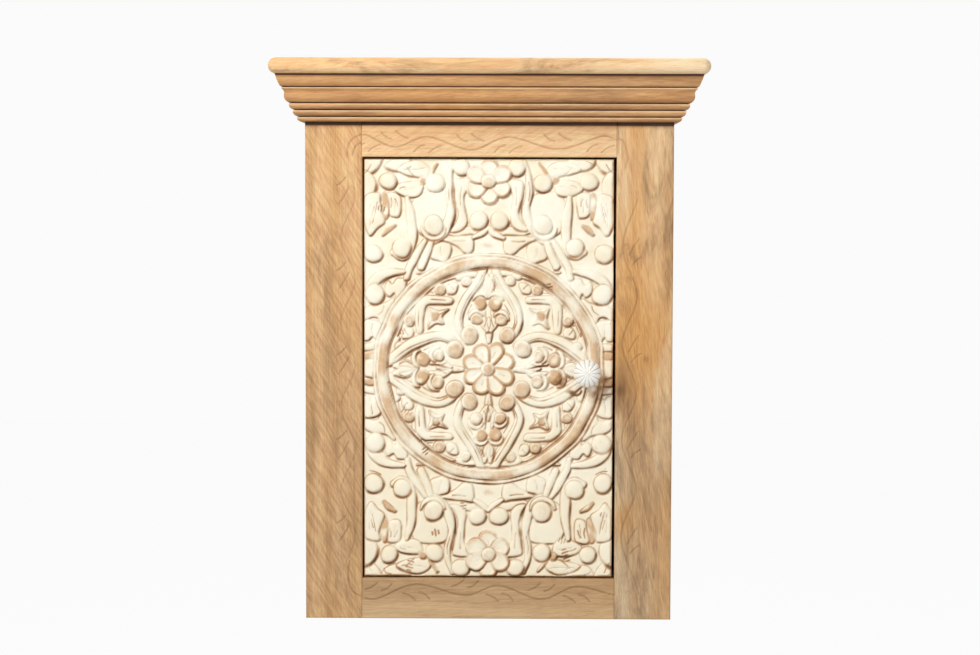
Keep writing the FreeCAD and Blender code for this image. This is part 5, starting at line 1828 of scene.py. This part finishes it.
@dataclass
class CapAndCornice:
    """The bullnosed cap board and the mitred moulding under it.

    Attributes:
        corner: Radius of the cap's front corners.
        nose: Radius of the rounding over and under the edge.
        soffit: Width of the moulding's flat underside.
        members: Groups of arcs from below; each arc has its run out, its rise and its swell.
        quirk: Run and rise of the step between two groups.
        undercut: How far the quirk is cut in.
        dirt_and_shade: Share of dark brown painted as shade in the quirks.
        lip: Height of a quirk's lower lip.
        root_shade: Share of painted shade against the case, and at the underside's front.
        foot_shade: Share of painted shade at a group's foot, and the height over which it fades.
        shade: Share of painted shadow under the cap, and the height over which it fades.
        worn: Height over which a group's upper edge is painted pale as a highlight.
        steps: Facets of an arc.
        merge: Distance within which two points of the section are one.
        clean: Length at the ends by the wall where the wood is freshly sawn.
    """

    shop: Workshop
    corner: float = 9.0
    nose: float = 8.3
    soffit: float = 5.0
    members: tuple[tuple[tuple[float, float, float], ...], ...] = (
        ((3.0, 4.5, 1.0),), ((2.8, 5.8, 1.2),), ((2.8, 5.8, 1.2),),
        ((3.8, 8.0, 1.4), (1.6, 5.6, -0.9), (1.2, 2.0, 0.3)), ((5.0, 13.2, 0.5),))
    quirk: Point = (1.1, 1.4)
    undercut: float = 1.6
    dirt_and_shade: float = 1.25
    lip: float = 0.3
    root_shade: Point = (1.4, 0.5)
    foot_shade: Point = (0.75, 2.0)
    shade: Point = (2.2, 2.6)
    worn: float = 1.4
    steps: int = 8
    merge: float = 0.01
    clean: float = 0.15

    def build(self) -> None:
        """Build the cap and the moulding."""
        low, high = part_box("cap_board")
        mesh = bmesh.new()
        bmesh.ops.create_cube(mesh, size=1.0)
        size = high - low
        place = Matrix.Translation((low + high) / 2) @ Matrix.Diagonal((size.x, size.y, size.z, 1.0))
        bmesh.ops.transform(mesh, matrix=place, verts=mesh.verts)
        upright = [edge for edge in mesh.edges if self.is_front_corner(edge, low.y)]
        bmesh.ops.bevel(mesh, geom=upright, offset=self.corner * MM, segments=6, profile=0.5,
                        affect="EDGES", material=-1)
        rims = [edge for edge in mesh.edges if self.is_rim(edge, high.y)]
        bmesh.ops.bevel(mesh, geom=rims, offset=self.nose * MM, segments=8, profile=0.5,
                        affect="EDGES", material=-1)
        piece = to_object("bullnosed_cap", mesh, smooth_angle=40.0)
        material = self.shop.wood(self.shop.straw, "cap_board", Grain.ALONG_X)
        self.shop.hand_in(piece, Body.CASE, "case_wood", material, "cap_board")
        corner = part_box("left_stile")[0].xy / MM
        self.moulding("cornice_front", "moulded_front", Grain.ALONG_X, (corner.x, corner.y), (-1, -1),
                      (-corner.x, corner.y), (1, -1))
        self.moulding("cornice_left_return", "moulded_left_return", Grain.ALONG_Y, (corner.x, 0.0), (-1, 0),
                      (corner.x, corner.y), (-1, -1))
        self.moulding("cornice_right_return", "moulded_right_return", Grain.ALONG_Y, (-corner.x, corner.y),
                      (1, -1), (-corner.x, 0.0), (1, 0))

    def profile(self) -> list[tuple[float, float, float, float]]:
        """Trace the moulding's section from below.

        Returns:
            Distance from the case, height above the underside, share of painted shade and share of painted
            highlight at each point.
        """
        points = [(0.0, 0.0, self.root_shade[0], 0.0), (self.soffit, 0.0, self.root_shade[1], 0.0)]
        foot_shade_share, foot_shade_fade = self.foot_shade
        for number, arcs in enumerate(self.members):
            out, level, _, _ = points[-1]
            if number:
                inner = out - self.undercut
                # Painted shade in the quirk.
                points += [(inner, level + rise, self.dirt_and_shade, 0.0) for rise in (self.lip, self.quirk[1])]
                out += self.quirk[0]
                level += self.quirk[1]
            base = level
            edge = base + sum(rise for _, rise, _ in arcs)
            for run, rise, swell in arcs:
                length = math.hypot(run, rise)
                for share in np.linspace(0.0, 1.0, self.steps):
                    lift = 4.0 * swell * share * (1.0 - share) / length
                    spot = (out + run * share + rise * lift, level + rise * share - run * lift)
                    if math.dist(spot, points[-1][:2]) < self.merge:
                        continue
                    # Painted shade at the group's foot and a painted highlight along its upper edge.
                    painted_shade = foot_shade_share * math.exp(-(spot[1] - base) / foot_shade_fade)
                    rub = math.exp(-((edge - spot[1]) / self.worn) ** 2)
                    points.append((*spot, painted_shade, rub))
                out += run
                level += rise
        top = points[-1][1]
        # Painted shadow under the cap's overhang.
        shade, shade_fade = self.shade
        darks = [shade * math.exp(-((top - point[1]) / shade_fade) ** 2) for point in points]
        points = [(out, level, max(painted_shade, dark), rub * max(0.0, 1.0 - dark))
                  for (out, level, painted_shade, rub), dark in zip(points, darks)]
        return points + [(0.0, top, 1.0, 0.0)]

    def moulding(self, node: str, name: str, grain: Grain, start: Point, start_way: Point, end: Point,
                 end_way: Point) -> None:
        """Build one length of the moulding.

        Args:
            node: CAD node that it replaces.
            name: The piece's name.
            grain: Direction of its fibres.
            start: The case's corner at its first end, across and deep.
            start_way: How that end moves for each millimetre of projection.
            end: The case's corner at its other end.
            end_way: How that end moves.
        """
        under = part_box(node)[0].z
        section = self.profile()
        mesh = bmesh.new()
        marks = [mesh.verts.layers.float.new(mark) for mark in ("groove", "rubbed")]
        ring = [mesh.verts.new(((start[0] + start_way[0] * out) * MM, (start[1] + start_way[1] * out) * MM,
                                under + level * MM)) for out, level, _, _ in section]
        # The section's painted shade and painted highlight go onto the groove and rubbed marks.
        for vertex, point in zip(ring, section):
            for mark, share in zip(marks, point[2:]):
                vertex[mark] = share
        outline = [mesh.edges.new(pair) for pair in zip(ring, ring[1:] + ring[:1])]
        sheet = bmesh.ops.contextual_create(mesh, geom=outline)["faces"]
        made = bmesh.ops.extrude_face_region(mesh, geom=sheet)
        places = {vertex: number for number, vertex in enumerate(ring)}
        for vertex in (item for item in made["geom"] if isinstance(item, bmesh.types.BMVert)):
            linked = (edge.other_vert(vertex) for edge in vertex.link_edges)
            out = section[next(places[other] for other in linked if other in places)][0]
            vertex.co.x = (end[0] + end_way[0] * out) * MM
            vertex.co.y = (end[1] + end_way[1] * out) * MM
        bmesh.ops.recalc_face_normals(mesh, faces=mesh.faces)
        parts = mesh.verts[:] + mesh.edges[:] + mesh.faces[:]
        bmesh.ops.bisect_plane(mesh, geom=parts, plane_co=(0.0, -self.clean * MM, 0.0),
                               plane_no=(0.0, 1.0, 0.0))
        for vertex in (vertex for vertex in mesh.verts if vertex.co.y > -0.5 * self.clean * MM):
            for mark in marks:
                vertex[mark] = 0.0
        piece = to_object(name, mesh, smooth_angle=35.0)
        self.shop.hand_in(piece, Body.CASE, "case_wood", self.shop.wood(self.shop.amber, node, grain), node)

    @staticmethod
    def is_front_corner(edge: bmesh.types.BMEdge, front: float) -> bool:
        """Tell whether an edge is an upright one at the front."""
        a, b = (vertex.co for vertex in edge.verts)
        return abs(a.z - b.z) > 0.5 * (a - b).length and abs(a.y - front) < 1e-5

    @staticmethod
    def is_rim(edge: bmesh.types.BMEdge, back: float) -> bool:
        """Tell whether an edge runs level round the front or an end."""
        a, b = (vertex.co for vertex in edge.verts)
        at_back = abs(a.y - back) < 1e-5 and abs(b.y - back) < 1e-5
        level = abs(a.z - b.z) < 1e-6
        return level and not at_back and len(edge.link_faces) == 2 and edge.calc_face_angle() > 0.5


@dataclass
class Carcass:
    """The boards behind the face frame, which keep their CAD shapes."""

    shop: Workshop

    def build(self) -> None:
        """Dress the boards."""
        for node in ("left_side_panel", "right_side_panel"):
            self.shop.dress_node(node, self.shop.wood(self.shop.honey, node, Grain.ALONG_Z))
        for node in ("carcass_bottom_board", "carcass_top_board", "lower_shelf", "upper_shelf",
                     "hanging_rail"):
            self.shop.dress_node(node, self.shop.wood(self.shop.inner, node, Grain.ALONG_X))
        self.shop.dress_node("back_panel", self.shop.wood(self.shop.inner, "back_panel", Grain.ALONG_Z))


@dataclass
class Knob:
    """The fluted ceramic knob.

    Attributes:
        flutes: Number of lobes.
        steps: Facets of each lobe.
        groove: Depth of the cuts between lobes, as a share of the radius.
        fade: Distance from the axis, as a share of the radius, at which the cuts reach their full depth.
        dip: How much the cuts lower the crown.
        dip_from: Height above which they do, as a share of the knob's own.
        profile: Radius and height above the foot, as shares of the knob's own radius and height.
    """

    shop: Workshop
    flutes: int = 14
    steps: int = 16
    groove: float = 0.11
    fade: float = 0.5
    dip: float = 0.9
    dip_from: float = 0.4
    profile: tuple[Point, ...] = (
        (0.42, 0.0), (0.5, 0.08), (0.78, 0.22), (0.95, 0.36), (1.0, 0.5), (0.97, 0.63), (0.86, 0.77),
        (0.68, 0.88), (0.46, 0.95), (0.25, 0.985), (0.1, 1.0))

    def build(self) -> None:
        """Build and dress the knob."""
        low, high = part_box("knob")
        middle = (low + high) / 2
        radius = (high.x - low.x) / 2
        height = high.y - low.y
        line = curve_through(self.profile, 3)
        mesh = bmesh.new()
        points = [mesh.verts.new((middle.x + radius * r, high.y - height * min(h, 1.0), middle.z))
                  for r, h in line]
        edges = [mesh.edges.new(pair) for pair in zip(points, points[1:])]
        centre = Vector((middle.x, high.y, middle.z))
        bmesh.ops.spin(mesh, geom=points + edges, cent=centre, axis=(0.0, 1.0, 0.0), dvec=(0.0, 0.0, 0.0),
                       angle=2 * math.pi, steps=self.flutes * self.steps, use_merge=True)
        bmesh.ops.remove_doubles(mesh, verts=mesh.verts, dist=1e-7)
        for loop in self.open_ends(mesh):
            bmesh.ops.contextual_create(mesh, geom=loop)
        # The groove mark greys the cuts between the lobes: dust and painted shade.
        line_mark = mesh.verts.layers.float.new("groove")
        for vertex in mesh.verts:
            reach = Vector((vertex.co.x - middle.x, 0.0, vertex.co.z - middle.z))
            turn = math.atan2(reach.z, reach.x)
            lobe = abs(math.sin(0.5 * self.flutes * turn)) ** 0.5
            share = min(1.0, reach.length / (self.fade * radius))
            vertex[line_mark] = (1.0 - lobe) * share
            vertex.co -= reach * self.groove * (1.0 - lobe) * share
            lift = (high.y - vertex.co.y) / height
            vertex.co.y += self.dip * MM * (1.0 - lobe) * max(0.0, lift - self.dip_from)
        bmesh.ops.recalc_face_normals(mesh, faces=mesh.faces)
        piece = to_object("fluted_knob", mesh, smooth_angle=60.0)
        self.shop.hand_in(piece, Body.DOOR, "white_glaze", self.shop.glaze.make(self.shop.patterns), "knob")

    @staticmethod
    def open_ends(mesh: bmesh.types.BMesh) -> list[list[bmesh.types.BMEdge]]:
        """Find the two open rims of the turned shell.

        Args:
            mesh: The shell.

        Returns:
            The edges of each rim.
        """
        rims: dict[float, list[bmesh.types.BMEdge]] = {}
        for edge in mesh.edges:
            if edge.is_boundary:
                rims.setdefault(round(edge.verts[0].co.y, 5), []).append(edge)
        return list(rims.values())


@dataclass
class Hardware:
    """Pivots, knob fixings, catch and brads, which keep their CAD shapes, and the catch's small screws.

    Attributes:
        head: Radius of a screw's head.
        slot: Half width of its slot.
        slot_floor: Height of the slot's floor, as a share of the head's.
        facets: Facets round it.
        dome: Radius and height of the head's section, as shares of its radius.
        catch_places: Distances of the catch's screws in front of its back, by name.
        catch_seat: Depth of their seats under the catch's top.
        strike_inset: Distance of the strike plate's screws from its ends.
        strike_proud: How far these stand proud, as a share of a full dome.
    """

    shop: Workshop
    head: float = 2.3
    slot: float = 0.38
    slot_floor: float = 0.3
    facets: int = 48
    dome: tuple[Point, ...] = (
        (1.0, 0.0), (0.97, 0.22), (0.84, 0.4), (0.6, 0.5), (0.36, 0.54), (0.18, 0.56), (0.06, 0.56))
    catch_places: tuple[tuple[str, float], ...] = (("catch_screw_front", 21.5), ("catch_screw_back", 7.5))
    catch_seat: float = 3.0
    strike_inset: float = 3.2
    strike_proud: float = 0.25

    def build(self) -> None:
        """Dress the fittings."""
        shop = self.shop
        kinds = (shop.brass, shop.steel, shop.oiled, shop.bronzed, shop.moulded, shop.ferrite)
        finishes = {finish.name: finish.make(shop.patterns) for finish in kinds}
        for node, finish in self.fittings().items():
            shop.dress_node(node, finishes[finish.name])
        self.catch_screws(finishes[shop.steel.name])

    def catch_screws(self, steel: bpy.types.Material) -> None:
        """Drive the screws of the catch and of its strike plate.

        Args:
            steel: Their material.
        """
        low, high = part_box("catch_body")
        middle = (low.x + high.x) / 2
        for name, out in self.catch_places:
            place = Matrix.Translation((middle, high.y - out * MM, high.z - self.catch_seat * MM))
            self.screw(name, Body.CASE, steel, place @ Matrix.Rotation(math.pi, 4, "X"), 1.0)
        low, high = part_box("strike_plate")
        inset = self.strike_inset * MM
        for name, level in (("strike_screw_lower", low.z + inset), ("strike_screw_upper", high.z - inset)):
            place = Matrix.Translation((middle, high.y, level)) @ Matrix.Rotation(-math.pi / 2, 4, "X")
            self.screw(name, Body.DOOR, steel, place, self.strike_proud)

    def screw(self, name: str, body: Body, steel: bpy.types.Material, place: Matrix, proud: float) -> None:
        """Turn one slotted screw head.

        Args:
            name: The piece's name.
            body: Body that it rides on.
            steel: Its material.
            place: Its seat and direction, with the head along the third axis.
            proud: How far it stands proud, as a share of a full dome.
        """
        mesh = bmesh.new()
        scale = self.head * MM
        points = [mesh.verts.new((scale * reach, 0.0, scale * rise * proud)) for reach, rise in self.dome]
        edges = [mesh.edges.new(pair) for pair in zip(points, points[1:])]
        bmesh.ops.spin(mesh, geom=points + edges, cent=(0.0, 0.0, 0.0), axis=(0.0, 0.0, 1.0),
                       dvec=(0.0, 0.0, 0.0), angle=2 * math.pi, steps=self.facets, use_merge=True)
        bmesh.ops.remove_doubles(mesh, verts=mesh.verts, dist=1e-8)
        bmesh.ops.holes_fill(mesh, edges=[edge for edge in mesh.edges if edge.is_boundary], sides=0)
        for vertex in mesh.verts:
            if abs(vertex.co.x) < self.slot * MM:
                vertex.co.z *= self.slot_floor
        bmesh.ops.transform(mesh, matrix=place, verts=mesh.verts)
        bmesh.ops.recalc_face_normals(mesh, faces=mesh.faces)
        self.shop.hand_in(to_object(name, mesh, smooth_angle=35.0), body, "steel", steel)

    def fittings(self) -> dict[str, MetalFinish | GlossFinish]:
        """Give the finish of each fitting.

        Returns:
            Finish by node.
        """
        shop = self.shop
        return {"pivot_pin_bottom": shop.oiled, "pivot_pin_top": shop.oiled, "pivot_bush_bottom": shop.brass,
                "pivot_bush_top": shop.brass, "pivot_washer": shop.bronzed, "knob_collar": shop.brass,
                "knob_stud": shop.steel, "knob_washer": shop.steel, "knob_nut": shop.steel,
                "strike_plate": shop.steel, "catch_body": shop.moulded, "catch_magnet": shop.ferrite,
                "catch_pole_plates": shop.steel, "back_panel_brads": shop.steel}


@dataclass(frozen=True)
class Lamp:
    """A square soft lamp.

    Attributes:
        name: The lamp's name.
        place: Its place.
        aim: The point that it shines at.
        size: Its side.
        power: Its power in watts.
    """

    name: str
    place: tuple[float, float, float]
    aim: tuple[float, float, float]
    size: float
    power: float

    def hang(self) -> None:
        """Hang the lamp."""
        data = bpy.data.lights.new(self.name, "AREA")
        data.shape = "SQUARE"
        data.size = self.size * MM
        data.energy = self.power
        lamp = bpy.data.objects.new(self.name, data)
        lamp.visible_camera = False
        lamp.location = Vector(self.place) * MM
        ahead = (Vector(self.aim) - Vector(self.place)) * MM
        lamp.rotation_euler = ahead.to_track_quat("-Z", "Y").to_euler()
        bpy.context.scene.collection.objects.link(lamp)


@dataclass
class Studio:
    """Floor, white background, lamps and the camera of the photograph.

    Attributes:
        drop: Distance of the floor under the cabinet.
        reach: Half the floor's side.
        eye: The camera's place.
        pitch: How far it looks down, in degrees.
        yaw: How far it looks to the right, in degrees.
        roll: How far it leans, in degrees.
        focal: Focal length in pixels of the photograph.
        wide: Width of the photograph in pixels.
        lamps: The lamps.
    """

    drop: float = 420.0
    reach: float = 6000.0
    eye: tuple[float, float, float] = (25.2, -2365.0, -104.3)
    pitch: float = 3.247
    yaw: float = -0.624
    roll: float = -0.165
    focal: float = 2007.8
    wide: float = 980.0
    lamps: tuple[Lamp, ...] = (
        Lamp("key_lamp", (-860.0, -1350.0, 800.0), (0.0, -150.0, -180.0), size=520.0, power=21.0),
        Lamp("fill_lamp", (900.0, -2100.0, 200.0), (0.0, -150.0, -250.0), size=1600.0, power=9.0),
        Lamp("back_lamp", (600.0, 1000.0, 1400.0), (0.0, -50.0, -250.0), size=1200.0, power=16.0))

    def build(self) -> None:
        """Set up the whole studio."""
        self.floor()
        self.world()
        for lamp in self.lamps:
            lamp.hang()
        self.camera()

    def floor(self) -> None:
        """Lay the pale floor."""
        low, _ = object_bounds()
        mesh = bmesh.new()
        bmesh.ops.create_grid(mesh, x_segments=1, y_segments=1, size=self.reach * MM)
        bmesh.ops.translate(mesh, vec=(0.0, 0.0, low[2] - self.drop * MM), verts=mesh.verts)
        floor = to_object("studio_floor", mesh)
        floor.data.materials.append(self.white_paper())
        floor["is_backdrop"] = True

    @staticmethod
    def background_rays(desk: NodeDesk) -> Socket:
        """Pick the rays that show the white background: the camera's, and those in metal and glass."""
        path = desk.add("ShaderNodeLightPath")
        seen = desk.calc("MAXIMUM", path.outputs["Is Camera Ray"], path.outputs["Is Glossy Ray"])
        return desk.calc("MAXIMUM", seen, path.outputs["Is Transmission Ray"])

    @staticmethod
    def white_paper() -> bpy.types.Material:
        """Make the floor's paper, white to the camera.

        Returns:
            The material.
        """
        material, desk, shader = new_material("studio_paper")
        shader.inputs["Base Color"].default_value = (0.82, 0.82, 0.82, 1.0)
        shader.inputs["Roughness"].default_value = 0.9
        glow = desk.add("ShaderNodeEmission")
        glow.inputs["Color"].default_value = (1.0, 1.0, 1.0, 1.0)
        glow.inputs["Strength"].default_value = 1.0
        blend = desk.add("ShaderNodeMixShader")
        desk.feed(blend.inputs[0], desk.calc("MULTIPLY", Studio.background_rays(desk), 0.94))
        desk.feed(blend.inputs[1], shader.outputs[0])
        desk.feed(blend.inputs[2], glow.outputs[0])
        output = material.node_tree.nodes["Material Output"]
        desk.feed(output.inputs["Surface"], blend.outputs[0])
        return material

    @staticmethod
    def world() -> None:
        """Light the studio evenly, with a white background."""
        world = bpy.data.worlds.new("studio_air")
        world.use_nodes = True
        bpy.context.scene.world = world
        desk = NodeDesk(world.node_tree)
        soft = world.node_tree.nodes["Background"]
        soft.inputs["Color"].default_value = (1.0, 0.98, 0.95, 1.0)
        soft.inputs["Strength"].default_value = 0.36
        white = desk.add("ShaderNodeBackground")
        white.inputs["Color"].default_value = tone(251, 251, 251)
        white.inputs["Strength"].default_value = 1.0
        blend = desk.add("ShaderNodeMixShader")
        desk.feed(blend.inputs[0], Studio.background_rays(desk))
        desk.feed(blend.inputs[1], soft.outputs[0])
        desk.feed(blend.inputs[2], white.outputs[0])
        desk.feed(world.node_tree.nodes["World Output"].inputs["Surface"], blend.outputs[0])

    def camera(self) -> None:
        """Set the camera where the photograph was taken."""
        pitch, yaw, roll = (math.radians(angle) for angle in (self.pitch, self.yaw, self.roll))
        ahead = Vector((math.sin(yaw) * math.cos(pitch), math.cos(yaw) * math.cos(pitch), -math.sin(pitch)))
        level = Vector((math.cos(yaw), -math.sin(yaw), 0.0))
        down = ahead.cross(level)
        right = math.cos(roll) * level + math.sin(roll) * down
        below = math.cos(roll) * down - math.sin(roll) * level
        data = bpy.data.cameras.new("photo_camera")
        data.sensor_fit = "HORIZONTAL"
        data.sensor_width = 36.0
        data.lens = self.focal / self.wide * data.sensor_width
        data.clip_end = 50.0
        camera = bpy.data.objects.new("photo_camera", data)
        turn = Matrix((right, -below, -ahead)).transposed().to_4x4()
        camera.matrix_world = Matrix.Translation(Vector(self.eye) * MM) @ turn
        bpy.context.scene.collection.objects.link(camera)
        bpy.context.scene.camera = camera


def main() -> None:
    """Build the cabinet around its frame."""
    logging.basicConfig(level=logging.INFO, format="%(name)s: %(message)s")
    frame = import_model()
    bpy.context.scene.view_settings.view_transform = "Standard"
    shop = Workshop(frame["nodes"])
    Studio().build()
    CarvedDoor(shop).build()
    FaceFrame(shop).build()
    CapAndCornice(shop).build()
    Carcass(shop).build()
    Knob(shop).build()
    Hardware(shop).build()


if __name__ == "__main__":
    main()
